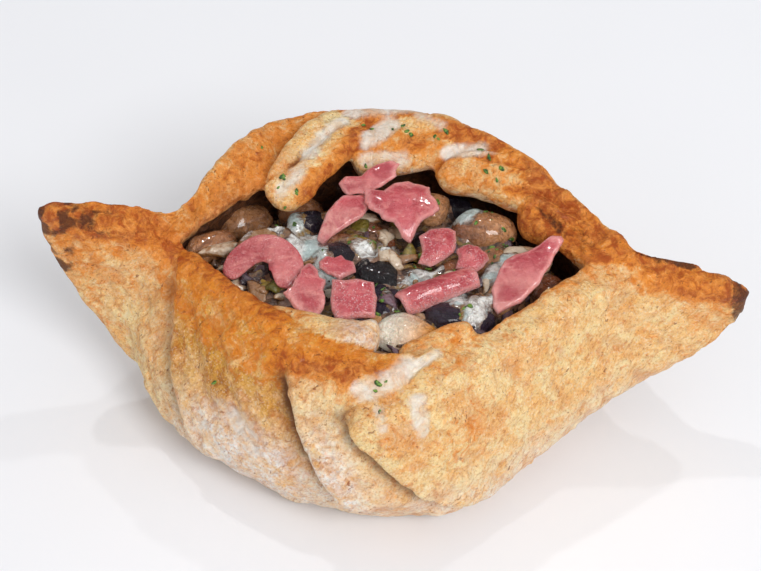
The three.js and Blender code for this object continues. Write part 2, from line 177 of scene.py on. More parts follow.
def edges_of(mesh):
    flat = np.empty(2 * len(mesh.edges), np.int32)
    mesh.edges.foreach_get("vertices", flat)
    return flat.reshape(-1, 2)


def relax(points, edges, times):
    """Moves each point halfway to the mean of its neighbours, this many times."""
    count = np.bincount(edges.ravel(), minlength=len(points))[:, None]
    for _ in range(times):
        total = np.zeros_like(points)
        np.add.at(total, edges[:, 0], points[edges[:, 1]])
        np.add.at(total, edges[:, 1], points[edges[:, 0]])
        points = points + 0.5 * (total / np.maximum(count, 1) - points)
    return points


# ---------------------------------------------------------------- materials

def colour(red, green, blue):
    """A colour given as it looks on a screen, 0 to 255."""
    def linear(c):
        c = c / 255
        return c / 12.92 if c <= 0.04045 else ((c + 0.055) / 1.055) ** 2.4
    return (linear(red), linear(green), linear(blue), 1.0)


class Paint:
    """A short way to write a procedural material as nodes."""

    def __init__(self, name):
        self.material = bpy.data.materials.new(name)
        self.material.use_nodes = True
        self.tree = self.material.node_tree
        self.shader = self.tree.nodes["Principled BSDF"]
        self.place = self.tree.nodes.new("ShaderNodeTexCoord").outputs["Object"]

    def put(self, socket, value):
        if isinstance(value, bpy.types.NodeSocket):
            self.tree.links.new(value, socket)
        else:
            socket.default_value = value

    def filled(self, node, sockets, output=0):
        """Fills a node's sockets and gives its output."""
        for socket, value in sockets.items():
            self.put(node.inputs[socket], value)
        return node.outputs[output]

    def mask(self, name):
        node = self.tree.nodes.new("ShaderNodeAttribute")
        node.attribute_name = name
        return node.outputs["Fac"]

    def calc(self, operation, a, b=0.0, clamp=False):
        node = self.tree.nodes.new("ShaderNodeMath")
        node.operation = operation
        node.use_clamp = clamp
        return self.filled(node, {0: a, 1: b})

    def along(self, stretch, turn=0.0):
        """The place, drawn out by these factors along axes turned this many degrees about Y."""
        node = self.tree.nodes.new("ShaderNodeMapping")
        node.vector_type = "TEXTURE"
        about = (0, math.radians(-turn), 0)
        return self.filled(node, {"Vector": self.place, "Rotation": about, "Scale": stretch})

    def noise(self, size, detail=3.0, rough=0.55, warp=0.0, stretch=None, turn=0.0):
        """Noise whose lumps are about this many millimetres."""
        place = self.place if stretch is None else self.along(stretch, turn)
        return self.filled(self.tree.nodes.new("ShaderNodeTexNoise"), {
            "Vector": place, "Scale": 1 / (size * MM), "Detail": detail, "Roughness": rough,
            "Distortion": warp}, "Fac")

    def cells(self, size):
        return self.filled(self.tree.nodes.new("ShaderNodeTexVoronoi"),
                           {"Vector": self.place, "Scale": 1 / (size * MM)}, "Distance")

    def ramp(self, value, low, high):
        """0 below low, 1 above high."""
        node = self.tree.nodes.new("ShaderNodeMapRange")
        node.interpolation_type = "SMOOTHSTEP"
        return self.filled(node, {"Value": value, "From Min": low, "From Max": high}, "Result")

    def mix(self, share, a, b):
        """A colour between two."""
        node = self.tree.nodes.new("ShaderNodeMix")
        node.data_type = "RGBA"
        return self.filled(node, {0: share, 6: a, 7: b}, 2)

    def blend(self, share, a, b):
        """A number between two."""
        return self.filled(self.tree.nodes.new("ShaderNodeMix"), {0: share, 2: a, 3: b})

    def tint(self, value, low, high, first, second):
        """From the first colour to the second as the value goes from low to high."""
        return self.mix(self.ramp(value, low, high), colour(*first), colour(*second))

    def over(self, under, share, cover, amount=1.0):
        """Lays a colour over another, by this share times the amount."""
        if amount != 1.0:
            share = self.calc("MULTIPLY", share, amount, clamp=True)
        return self.mix(share, under, colour(*cover) if isinstance(cover, tuple) else cover)

    def flecked(self, under, *flecks):
        """Lays flecks over a colour. Each is a noise, where it starts and is full, its amount and colour."""
        for wave, starts, full, amount, cover in flecks:
            under = self.over(under, self.ramp(wave, starts, full), cover, amount)
        return under

    def sway(self, value, *waves):
        """Moves a value up and down by noises, each given with how far it moves it."""
        for wave, amount in waves:
            value = self.calc("ADD", value, self.calc("MULTIPLY", self.calc("SUBTRACT", wave, 0.5), amount))
        return value

    def total(self, *parts):
        """The sum of values, each given with its weight."""
        result = None
        for value, weight in parts:
            part = self.calc("MULTIPLY", value, weight)
            result = part if result is None else self.calc("ADD", result, part)
        return result

    def bump(self, height, depth):
        """Relief of this depth in millimetres."""
        return self.filled(self.tree.nodes.new("ShaderNodeBump"),
                           {"Strength": 1.0, "Distance": depth * MM, "Height": height}, "Normal")

    def finish(self, inside=None, **sockets):
        """Sets the shader's sockets. inside is how much light goes in, then how far in millimetres."""
        if inside is not None:
            weight, *reach = inside
            sockets |= dict(Subsurface_Weight=weight, Subsurface_Scale=1.0,
                            Subsurface_Radius=tuple(length * MM for length in reach))
        for name, value in sockets.items():
            self.put(self.shader.inputs[name.replace("_", " ")], value)
        return self.material


# ---------------------------------------------------------------- crust shape

# The crust is lofted through sixteen level loops, from the middle of the foot
# up the outside, over the crest, round the lip and down to the cavity's floor.
CRUST = dict(
    left=[0, 40, 51, 65.5, 75.8, 81.5, 84, 83, 66, 52, 51, 52, 54, 46, 34, 0],
    right=[0, 36, 44, 61, 76, 82, 84.2, 83, 63, 47.5, 46.5, 48.5, 50, 42, 30, 0],
    body_left=[1, 40, 50, 62, 64, 59, 56, 54, 53, 52, 51, 52, 54, 46, 34, 1],
    body_right=[1, 36, 44, 59, 66, 63, 58, 57, 53, 47.5, 46.5, 48.5, 50, 42, 30, 1],
    front=[0, 24, 32, 38.5, 42.5, 39.5, 34, 29, 26.5, 25, 25.5, 31.5, 36, 31, 22, 0],
    back=[0, 28, 35, 42, 47, 48.5, 47.5, 44.5, 38, 28, 28.5, 37, 41, 35, 26, 0],
    pinch_front_left=[0.5, 0.5, 0.5, 0.56, 0.74, 0.9, 1, 1.1, 1.15, 1.2, 1.2, 1.1, 0.85, 0.65, 0.5, 0.5],
    pinch_front_right=[0.5, 0.65, 1.0, 1.45, 1.75, 1.75, 1.5, 1.25, 1.2, 1.15, 1.15, 1.1, 1.1, 1, 0.7, 0.5],
    pinch_back_left=[0.5, 0.5, 0.6, 0.85, 1.2, 1.55, 1.9, 1.95, 1.5, 1, 1, 0.9, 0.9, 0.75, 0.5, 0.5],
    pinch_back_right=[0.5, 0.5, 0.55, 0.75, 0.95, 1.15, 1.25, 1.3, 1.2, 1, 1, 0.9, 0.9, 0.75, 0.5, 0.5],
    shoulder=[2, 2, 2, 2, 2.4, 3.4, 4.2, 4.6, 3.4, 2.4, 2.4, 2.2, 2, 2, 2, 2],
    z_front=[0, 0, 1.8, 9, 23, 38, 47, 51, 51, 49, 45.5, 41, 26, 11, 6, 6],
    z_back=[0, 0, 1.8, 9, 25, 44, 57, 62.5, 61.5, 58.5, 54.5, 50.5, 28, 11, 6, 6],
    z_left=[0, 0, 3, 13, 27, 43, 54, 59, 57.5, 53, 49.5, 43, 28, 13, 6.5, 6],
    z_right=[0, 0, 4, 14, 27, 35.5, 41.5, 46.5, 51, 52, 48, 42, 28, 13, 6.5, 6],
    fin=[0, 0, 1, 5, 6, 5, 4.2, 3.2, 2, 0, 0, 0, 0, 0, 0, 0],
    fold=[0, 0, 0, 0, 0, 0, 0, 0, 0.3, 1, 1, 0.6, 0, 0, 0, 0],
)
LAST_LOOP = len(CRUST["left"]) - 1
CREST, LIP = 7, 9.5
BEND = dict(left=7.5, right=5.0, over=55.0, height=40.0, low=0.3)
BACK_FOLD = dict(depth=9.0, starts=12.0, ends=116.0)
DIPS = [dict(x=-52, depth=4.0, width=8.0, at_front=1), dict(x=-26, depth=3.6, width=11.0, at_front=0)]

# Each panel's edge is a line of (x, z) on the front wall, the upper panel on its right going down.
LAPS = dict(
    middle=dict(edge=[(-3, 49.5), (-12, 48), (-19.5, 46), (-21, 43.5), (-19, 37), (-15.5, 30), (-11, 22),
                      (-6, 14), (-1, 7)], low=10, step=4.4, fades=16, groove=2.6),
    right=dict(edge=[(14, 52), (5, 47.5), (-4, 44.5), (-6.5, 42), (-5, 39), (-0.5, 35.5), (6.5, 26.5),
                     (15, 17), (23, 10), (27, 6)], low=3, step=4.2, fades=24, groove=2.4),
    left=dict(edge=[(-51, 50), (-52, 42), (-52, 33), (-50, 24), (-46, 15), (-43, 9)],
              low=8, step=2.2, fades=10, groove=2.0),
)
LOW_CORNER = dict(x=18, z=6, height=4.2, width=8.0)

TONGUES = dict(
    back_left=dict(path=[(-11, 43, 58), (-17, 36.5, 59.5), (-24, 27, 58), (-29, 17.2, 53)],
                   width=[16, 15, 13, 11], thick=[6, 6, 6, 6.5],
                   across=[(1, -0.5, -0.1), (1, -0.5, -0.2), (1, -0.5, -0.3), (1, -0.4, -0.3)]),
    back_middle=dict(path=[(16, 40, 57), (6, 38.5, 58), (-3, 35.5, 57), (-11.5, 31.5, 54.5)],
                     width=[14, 15, 13, 10], thick=[7, 7, 7, 7],
                     across=[(0.2, -1, -0.3), (0.2, -1, -0.45), (0.1, -1, -0.55), (0, -1, -0.5)]),
    back_right=dict(path=[(39, 20.5, 52), (31, 27.5, 54.8), (20, 31.8, 55.8), (9, 31.5, 54.8)],
                    width=[8, 12, 13, 11.5], thick=[6, 7, 7.5, 7.5],
                    across=[(0.5, -1, -0.4), (0.4, -1, -0.45), (0.2, -1, -0.5), (0, -1, -0.5)]),
    right_corner=dict(path=[(48, 8, 49), (42, 14.5, 51), (35.5, 19.5, 52), (30.5, 22, 52)],
                      width=[6, 9, 10.5, 9.5], thick=[5, 7, 7, 6.5],
                      across=[(-0.6, -1, -0.4), (-0.6, -1, -0.6), (-0.6, -1, -0.8), (-0.5, -1, -0.8)]),
    front_roll=dict(path=[(-30, -12.5, 46.5), (-17, -18.8, 48.5), (-8, -20.3, 49.5), (-1.8, -20.6, 49.7)],
                    width=[7, 8, 8.5, 8], thick=[6, 6.5, 7.5, 7.5],
                    across=[(0.3, -1, 0), (0.2, -1, 0), (0, -1, 0.1), (0, -1, 0.2)]),
    front_strip=dict(path=[(4, -24, 46), (9.5, -22.5, 48.8), (15, -19.8, 50), (20.5, -16.5, 50.3)],
                     width=[6, 5.5, 5.5, 5], thick=[5, 5, 5, 5],
                     across=[(0, -1, 0), (0, -1, 0), (0, -1, 0), (0, -1, 0)]),
)
TONGUE_SQUARENESS = 2.6
ROWS_PER_LOOP, POINTS_AROUND = 15, 560
VOXEL = 0.72
# The dough's fibres run up towards the tips at this angle, in degrees.
FIBRE_TURN = 50.0


def back_fold(angle):
    """How far the mouth's back edge is cut back at this angle."""
    turn = np.degrees(angle)
    within = smooth((turn - BACK_FOLD["starts"]) / 24) * (1 - smooth((turn - BACK_FOLD["ends"]) / 6))
    return BACK_FOLD["depth"] * within


def crust_surface(s, angle):
    """The crust before its panels are lapped. Angle 0 is the right tip and 90 degrees the back."""
    size = {name: through(values, s) for name, values in CRUST.items()}
    c, n = np.cos(angle), np.sin(angle)
    is_left, is_back = c < 0, n > 0
    reach = np.where(is_left, size["left"], size["right"])
    body = np.maximum(np.where(is_left, size["body_left"], size["body_right"]), 0.001)
    x = c * reach
    power = np.where(is_left & is_back, size["shoulder"], 2.0)
    sharp = 1 - np.abs(x / body) ** power
    softness = np.maximum(0.1 * np.minimum(1, 4 * (reach / body - 1)), 0.0001)
    share = (sharp + np.hypot(sharp, softness)) / 2
    to_right = smooth((c + 0.35) / 0.7)
    ends = np.where(is_back, size["pinch_back_left"], size["pinch_front_left"])
    pinch = ends + to_right * (np.where(is_back, size["pinch_back_right"], size["pinch_front_right"]) - ends)
    half = np.where(is_back, size["back"] + size["fold"] * back_fold(angle), size["front"])
    fin = np.minimum(size["fin"], 0.6 * half)
    width = (half - fin) * np.where(share < 0.001, 0, share**pinch) + fin * np.abs(n) ** 0.7
    z = (np.where(is_back, size["z_back"], size["z_front"]) * n * n
         + np.where(is_left, size["z_left"], size["z_right"]) * c * c)
    near_crest = smooth((s - 4) / 2.5) * (1 - smooth((s - 8.6) / 1.2))
    for dip in DIPS:
        z = z - (dip["depth"] * bell(x - dip["x"], dip["width"]) * near_crest
                 * np.where(is_back, 1, dip["at_front"]))
    y = np.sign(n) * width + bend_at(x) * (BEND["low"] + (1 - BEND["low"]) * smooth(z / BEND["height"]))
    return np.stack([x, y, np.maximum(z, 0)], -1)


def bend_at(x):
    """How far the long axis has bent back at this x."""
    return np.where(x < 0, BEND["left"], BEND["right"]) * smooth(np.abs(x) / BEND["over"])


def beside_edge(edge, x, z):
    """Signed distance from an edge in the x-z plane, positive on its right."""
    nearest = np.full(np.shape(x), 1e9)
    side = np.ones(np.shape(x))
    for (x0, z0), (x1, z1) in zip(edge, edge[1:]):
        dx, dz = x1 - x0, z1 - z0
        along = np.clip(((x - x0) * dx + (z - z0) * dz) / (dx * dx + dz * dz), 0, 1)
        distance = np.hypot(x - x0 - along * dx, z - z0 - along * dz)
        closer = distance < nearest - 1e-6
        nearest = np.where(closer, distance, nearest)
        side = np.where(closer, np.sign(dx * (z - z0) - dz * (x - x0)), side)
    return nearest * side


def on_front_wall(s, angle):
    facing = smooth((-np.sin(angle) - 0.15) / 0.3)
    return facing * smooth((s - 1) / 1.2) * (1 - smooth(s - CREST - 0.2))


def lap_panels(points, s, angle):
    """Lays the front panels over each other, each edge a step with a groove beside it."""
    x, z = points[..., 0], points[..., 2]
    wall = on_front_wall(s, angle)
    moved = points.copy()
    for lap in LAPS.values():
        beside = beside_edge(lap["edge"], x, z)
        share = wall * smooth((z - lap["low"]) / 8)
        raised = smooth((beside + 0.5) / 1.1) * np.exp(-np.maximum(beside, 0) / lap["fades"])
        groove = lap["groove"] * np.where(beside < 0, np.exp(np.minimum(beside, 0) / 4),
                                          np.exp(-np.maximum(beside, 0) / 0.9))
        out = share * (lap["step"] * raised - groove)
        moved[..., 1] -= out
        moved[..., 2] -= 0.15 * out
        moved[..., 0] -= share * bell(beside - 1, 1.3)
    from_corner = np.hypot(x - LOW_CORNER["x"], z - LOW_CORNER["z"])
    moved[..., 1] -= wall * LOW_CORNER["height"] * bell(from_corner, LOW_CORNER["width"])
    return moved


def tongue_loops(path, width, thick, across, steps=48, around=36):
    """A flat, round-ended roll of dough along a path."""
    last = len(path) - 1
    u = last * (1 - np.cos(np.linspace(0, math.pi, steps))) / 2
    middle = path_through(path, u)
    ahead = unit(path_through(path, np.minimum(u + 0.01, last)) - path_through(path, np.maximum(u - 0.01, 0)))
    side = path_through(across, u)
    side = unit(side - (side * ahead).sum(-1, keepdims=True) * ahead)
    up = np.cross(ahead, side)
    from_end = np.minimum(u, last - u) / last * np.linalg.norm(np.subtract(path[-1], path[0]))
    half_width, half_thick = through(width, u) / 2, through(thick, u) / 2

    def rounded(radius):
        return np.sqrt(1 - (1 - np.clip(from_end / radius, 0, 1)) ** 2)

    a = np.linspace(0, 2 * math.pi, around, endpoint=False)
    power = 2 / TONGUE_SQUARENESS
    sideways = np.sign(np.cos(a)) * np.abs(np.cos(a)) ** power
    upwards = np.sign(np.sin(a)) * np.abs(np.sin(a)) ** power
    wide = (half_width * rounded(half_width * 0.9))[:, None, None] * side[:, None] * sideways[None, :, None]
    high = (half_thick * rounded(half_thick * 1.2))[:, None, None] * up[:, None] * upwards[None, :, None]
    return middle[:, None] + wide + high, u / last


def crust_sources():
    """The closed shells that make up the crust, with what each of their points belongs to."""
    s = np.linspace(0, LAST_LOOP, ROWS_PER_LOOP * LAST_LOOP + 1)[:, None]
    angle = np.linspace(0, 2 * math.pi, POINTS_AROUND, endpoint=False)[None, :]
    s, angle = np.broadcast_arrays(s, angle)
    plain = crust_surface(s, angle)
    shells = [loft(lap_panels(plain, s, angle))]
    inner = (slice(1, -1), slice(None))

    def flat(values):
        return np.concatenate([values[:1, 0], values[inner].ravel(), values[-1:, 0]])

    tags = [dict(s=flat(s), angle=flat(angle), x=flat(plain[..., 0]), z=flat(plain[..., 2]),
                 tongue=np.full(len(shells[0][0]), -1), along=np.zeros(len(shells[0][0])))]
    for number, tongue in enumerate(TONGUES.values()):
        loops, along = tongue_loops(**tongue)
        shell = loft(loops)
        count = len(shell[0])
        along = flat(np.repeat(along[:, None], loops.shape[1], 1))
        shells.append(shell)
        tags.append(dict(s=np.full(count, LIP), angle=np.zeros(count), x=shell[0][:, 0], z=shell[0][:, 2],
                         tongue=np.full(count, number), along=along))
    return shells, tags


def join(shells):
    """Joins vertices and faces into one list of each."""
    verts, faces, start = [], [], 0
    for v, f in shells:
        verts.append(v)
        faces += [tuple(i + start for i in face) for face in f]
        start += len(v)
    return np.concatenate(verts), faces


def remeshed(name, shells, voxel):
    """The shells joined into one even skin."""
    source = make_object(name + "_source", make_mesh(name + "_source", *join(shells)))
    remesh = source.modifiers.new("skin", "REMESH")
    remesh.mode = "VOXEL"
    remesh.voxel_size = voxel * MM
    evaluated = source.evaluated_get(bpy.context.evaluated_depsgraph_get())
    mesh = bpy.data.meshes.new_from_object(evaluated)
    mesh.name = name
    bpy.data.objects.remove(source)
    return mesh


def nearest_tags(points, shells, tags):
    """What each point belongs to: the tags of the closest source point."""
    sources = np.concatenate([v for v, _ in shells])
    tree = KDTree(len(sources))
    for k, point in enumerate(sources):
        tree.insert(point, k)
    tree.balance()
    found = np.array([tree.find(point)[1] for point in points])
    return {name: np.concatenate([tag[name] for tag in tags])[found] for name in tags[0]}


# ---------------------------------------------------------------- crust looks

# Folds standing out of the dough and creases pressed into it: path, half width,
# rise (negative for a crease) and how much it browns the skin.
FOLDS = [
    # the left tongue's trough and ridge, and the back wall's cut end lying on it
    ([(-17.5, 42, 62.3), (-20.5, 33.5, 62.5), (-25.5, 26, 60.5), (-29.5, 19.5, 56.5)], 2.4, -1.2, -0.4),
    ([(-8, 39.5, 60.6), (-12.5, 33, 60.6), (-17, 26.5, 58), (-21.5, 20, 55.5)], 2.3, 1.0, 0.9),
    ([(-16, 38.5, 62.5), (-20.5, 32, 62), (-25.5, 26.5, 61), (-31.5, 23, 58), (-34, 22, 54)], 0.8, -1.4, 0.5),
    # the middle tongue's edge, and the creases at its ends
    ([(-9, 35, 60.5), (0, 34.5, 60.5), (8, 35.5, 60)], 2.0, 0.8, 0.5),
    ([(9.5, 31, 57), (13, 33.5, 59.5), (17, 35, 60.5), (24, 34.5, 60)], 1.0, -1.9, 0.9),
    # lines along the right tongue and over the right corner's folds
    ([(20, 32, 60), (29.5, 30, 59.5), (36, 28, 59.5), (44, 21.5, 58)], 0.8, -1.1, 0.8),
    ([(27, 25, 56), (34.5, 22.5, 57), (41, 18, 57), (50, 11, 56)], 0.9, -1.4, 0.8),
    ([(34, 19.5, 55.5), (39.5, 13.5, 54), (44.5, 8.5, 53)], 0.9, -1.1, 0.5),
    ([(33, 22, 56), (38, 18.5, 56), (43, 14.5, 55.5)], 1.3, 0.9, 0.2),
    ([(37, 17, 55.5), (42, 12.5, 54.5), (47, 9, 54)], 0.8, -0.9, 0.4),
    ([(43, 13.5, 55), (48, 10, 55)], 1.7, -1.5, 0.8),
    # the seams along the fins' tops
    ([(52, 10, 56), (58.5, 7.5, 54), (66, 7, 52), (76, 6, 49.5)], 0.9, -1.0, 0.9),
    ([(54, 12, 55), (62, 9.5, 53), (72, 8, 50.5)], 1.6, 1.0, 0.5),
    ([(-58, 7, 56), (-68, 6.5, 58), (-80, 6.5, 60)], 1.3, 0.7, 0.3),
    # the front panels' pillowed corners
    ([(-19, -27.5, 47), (-14, -29, 48.5), (-8, -31, 48.7)], 3.6, 1.1, 1.3),
    ([(-1, -31, 49.6), (4, -30, 50.2)], 1.8, 0.3, 1.2),
    ([(-6, -38, 43.5), (0, -41, 42), (4, -43, 37)], 2.6, 1.2, 0.25),
    # wrinkles down the left panel
    ([(-47, -8, 44), (-45, -18, 34), (-39, -25, 25)], 1.6, -0.9, 0.2),
    ([(-36, -18, 45), (-33, -26, 36), (-27, -33, 26)], 2.2, 0.8, 0.1),
    ([(-27, -25, 42), (-24, -32, 34), (-20, -37, 25)], 1.5, -0.8, 0.2),
    # creases on the left fin
    ([(-60, 2, 50), (-57, -1, 42), (-54, -4, 32)], 2.2, 0.9, 0.1),
    ([(-66, 3.5, 52), (-63, 1, 44), (-60, -1, 36)], 1.4, -0.7, 0.1),
]


def from_stroke(points, path):
    """The distance of each point from a path."""
    nearest = np.full(len(points), 1e9)
    for start, end in zip(path, path[1:]):
        start, run = np.array(start, float), np.subtract(end, start)
        share = np.clip((points - start) @ run / (run @ run), 0, 1)
        nearest = np.minimum(nearest, np.linalg.norm(points - start - share[:, None] * run, axis=1))
    return nearest


# Where white sauce has run over the crust: from, to, half width and strength.
CRUST_SAUCE = [
    ((-19.5, 34.5, 61), (-27.5, 19.5, 56), 3.6, 1.0), ((-15, 40, 61.5), (-19, 36, 61), 3.0, 0.9),
    ((-13, 44, 61.5), (2, 45, 62), 2.6, 0.8), ((-2, 40, 61), (-8, 35.5, 60), 4.0, 0.9),
    ((-8, 31, 58), (3, 33, 57), 3.0, 0.6), ((4, 43, 61.5), (9, 41, 61), 2.6, 0.8),
    ((12, 33.5, 59.5), (19, 34, 60), 2.8, 1.0), ((21, 33.5, 59.5), (28, 31.5, 58.5), 1.7, 0.9),
    ((14, 30, 55), (24, 28, 53), 2.4, 0.5),
    ((12.5, -26, 51), (6.5, -30, 50.3), 2.2, 0.7), ((6.5, -30, 50.3), (1, -34, 49), 3.8, 0.85),
    ((1, -34, 49), (-4, -35.5, 47.3), 3.4, 0.75), ((0, -39.5, 45.5), (1, -41.5, 43), 2.6, 0.65),
    ((8.5, -37.5, 46.8), (10, -41, 41), 2.8, 0.75), ((-34, -29.5, 29), (-30, -34, 22), 4.4, 0.6),
    ((-43, -26.5, 22), (-38, -31, 14), 3.4, 0.55), ((-38, -26, 30), (-34, -29.5, 28), 2.6, 0.45),
]


def crust_masks(points, normals, tag):
    """Where the crust is browned, charred, floury and sauced, with painted shade in the top creases, beside
    the lap edges and on the cavity's inner wall. set_mask keeps each from 0 to 1.
    """
    x, y, z = points.T
    s, turn = tag["s"], np.degrees(tag["angle"])
    on_tongue = tag["tongue"] >= 0
    is_tongue = {name: tag["tongue"] == k for k, name in enumerate(TONGUES)}
    front = (turn > 180) & ~on_tongue
    back = (turn <= 180) & ~on_tongue
    patchy = 0.5 + 0.5 * layered(points, 9, 3)
    fine = 0.5 + 0.5 * layered(points, 3, 5)
    beside = {name: beside_edge(lap["edge"], tag["x"], tag["z"]) for name, lap in LAPS.items()}

    rim = bell(s - 8.2, 1.6) * ~on_tongue
    brown = 0.2 * patchy + rim * np.where(back, 0.5, 0.6 - 0.35 * smooth((x - 2) / 6))
    brown += 0.45 * bell(s - 9.0, 0.7) * front * smooth((x - 6) / 10)
    brown += 0.45 * bell(np.hypot(x - 20, z - 36), 8) * front
    cut = bell(s - 9.7, 0.9) * back * smooth((turn - 100) / 15)
    for path, width, _, amount in FOLDS:
        brown += amount * bell(from_stroke(points, path), 1.3 * width) * (0.5 + 0.5 * fine)
    brown += 0.2 * front * bell(beside["right"] - 2.5, 3) * smooth((z - 22) / 12)
    brown += 0.5 * back * smooth((s - 6.2) / 1.2) * (1 - smooth((s - 9) / 1)) * smooth((x + 30) / 12)
    brown += 0.22 * back * smooth((-20 - x) / 10) * smooth((s - 4) / 2)
    brown += 0.45 * front * smooth((-20 - x) / 4) * smooth((z - 35) / 8) * smooth((x + 60) / 6)
    brown += 0.3 * front * bell(x + 68, 14) * smooth((z - 30) / 15)
    brown += 0.4 * smooth((np.abs(x) - 60) / 20)
    tip_edge = smooth((s - 5.8) / 0.9) * (1 - smooth((s - 9.0) / 0.6)) * smooth((np.abs(x) - 54) / 8)
    brown += 0.6 * tip_edge
    for name, amount in dict(back_left=0.3, back_middle=0.4, back_right=0.5, right_corner=0.85,
                             front_roll=0.05, front_strip=0.5).items():
        brown += amount * is_tongue[name]
    brown += 0.5 * is_tongue["front_roll"] * smooth((0.5 - tag["along"]) / 0.3)

    burnt = smooth((np.abs(x) - np.where(x < 0, 73, 77)) / 7) * smooth((fine + patchy - 0.65) / 0.5)
    burnt += 0.9 * tip_edge * smooth((y - bend_at(x) - 0.2) / 1.5) * (x > 0) * fine
    burnt += 0.8 * tip_edge * smooth((-62 - x) / 8) * smooth((fine + patchy - 0.8) / 0.4)
    burnt += 0.4 * is_tongue["right_corner"] * fine
    # Painted shade: the creases above 50 mm are darkened in narrow bands along their grooves.
    for path, width, rise, _ in FOLDS:
        if rise < 0:
            burnt += 0.5 * bell(from_stroke(points, path), 0.8 * width) * (z > 50)

    flour = 0.95 * smooth((30 - z) / 20) * (0.4 + 0.6 * patchy) * ~on_tongue * smooth((x + 62) / 14)
    flour += 1.9 * bell(x + 32, 13) * bell(z - 22, 11) * front * (0.3 + 0.9 * patchy)
    flour += 1.1 * bell(x + 13, 9) * bell(z - 24, 14) * front * (beside["middle"] > 0) * (beside["right"] < 0)
    flour += 0.9 * is_tongue["front_roll"] * smooth((tag["along"] - 0.45) / 0.3)
    flour += 0.7 * is_tongue["back_right"] * smooth((-normals[:, 2] + 0.1) / 0.5)
    flour += 0.8 * is_tongue["back_middle"] * smooth((-normals[:, 2] + 0.25) / 0.5)

    sauce = np.zeros(len(points))
    for number, (start, end, radius, strength) in enumerate(CRUST_SAUCE):
        edge = from_stroke(points, (start, end)) / (radius * (1 + 0.5 * layered(points, 4.5, 31 + number)))
        sauce = np.maximum(sauce, strength * (1 - smooth((edge - 0.35) / 0.75)))
    sauce *= smooth((normals[:, 2] + 0.75) / 0.4)
    # Painted shade: the cavity's inner wall is painted dark brown, where the pastry's own shade falls.
    inner = smooth((s - 10.0) / 0.7) * ~on_tongue
    mustard = 1.3 * front * smooth(-beside["middle"]) * smooth(beside["left"]) * smooth((z - 22) / 14)
    mustard *= 0.5 + 0.6 * patchy
    # Painted shadow: a dark brown band on the lower panel's side of each lap edge, where the upper panel's
    # shadow falls.
    dark = sum(weight * bell(np.minimum(beside[name] + 1.2, 0), 2.4) * smooth((0.5 - beside[name]) / 1.2)
               for name, weight in dict(middle=1.1, right=0.8, left=0.4).items())
    dark *= front * smooth((z - 8) / 12) * smooth((46 - z) / 4) * (0.75 + 0.5 * fine)
    return dict(browning=brown, burnt=burnt, flour=flour, sauce=sauce, crease=dark, inner=inner,
                mustard=mustard, cut=cut)


def crust_relief(points, tag, masks):
    """How far each point of the baked skin stands out, in millimetres, then masks of where its relief is low
    and high, which the paint darkens as painted shade and lightens as a painted highlight.
    """
    s = tag["s"]
    on_tongue = tag["tongue"] >= 0
    outside = smooth((s - 1.2) / 1.0) * (1 - smooth((s - 11) / 1.0))
    broad = 0.8 * noise(points, 26, 11) + 0.5 * noise(points, 12, 12)
    # the dough's skin is drawn out towards the tips, so its wrinkles are long
    spin = np.array(Matrix.Rotation(math.radians(FIBRE_TURN), 3, "Y"))
    drawn = points @ spin
    wrinkles = 0.55 * layered(drawn, (8, 3.6, 3.2), 13) + 0.26 * layered(drawn, (4.2, 2, 1.7), 14)
    blisters = 0.6 * smooth((noise(points, 4.6, 15) - 0.3) / 0.4)
    pits = -0.35 * smooth((noise(points, 2.6, 16) - 0.45) / 0.3)
    knobbly, corner = (tag["tongue"] == list(TONGUES).index(name) for name in ("front_roll", "right_corner"))
    ragged = bell(s - 9.0, 1.3) * ~on_tongue + 1.0 * on_tongue + 0.5 * knobbly + 0.9 * corner
    torn = ragged * (0.35 * layered(points, (7, 3, 2.4), 17) + 0.14 * noise(points, (3.4, 1.5, 1.2), 18)
                     + 0.6 * noise(points, 9, 19))
    fine = outside * ~on_tongue * (wrinkles + blisters + pits) + torn
    lift = outside * broad + fine
    lift = lift * (1 - 0.7 * masks["sauce"]) + 0.35 * masks["sauce"]
    for path, width, rise, _ in FOLDS:
        lift += rise * bell(from_stroke(points, path), width)
    lift += 0.9 * knobbly * noise(points, 5.5, 20)
    return lift, smooth((0.05 - fine) / 0.5), smooth((fine - 0.05) / 0.5)


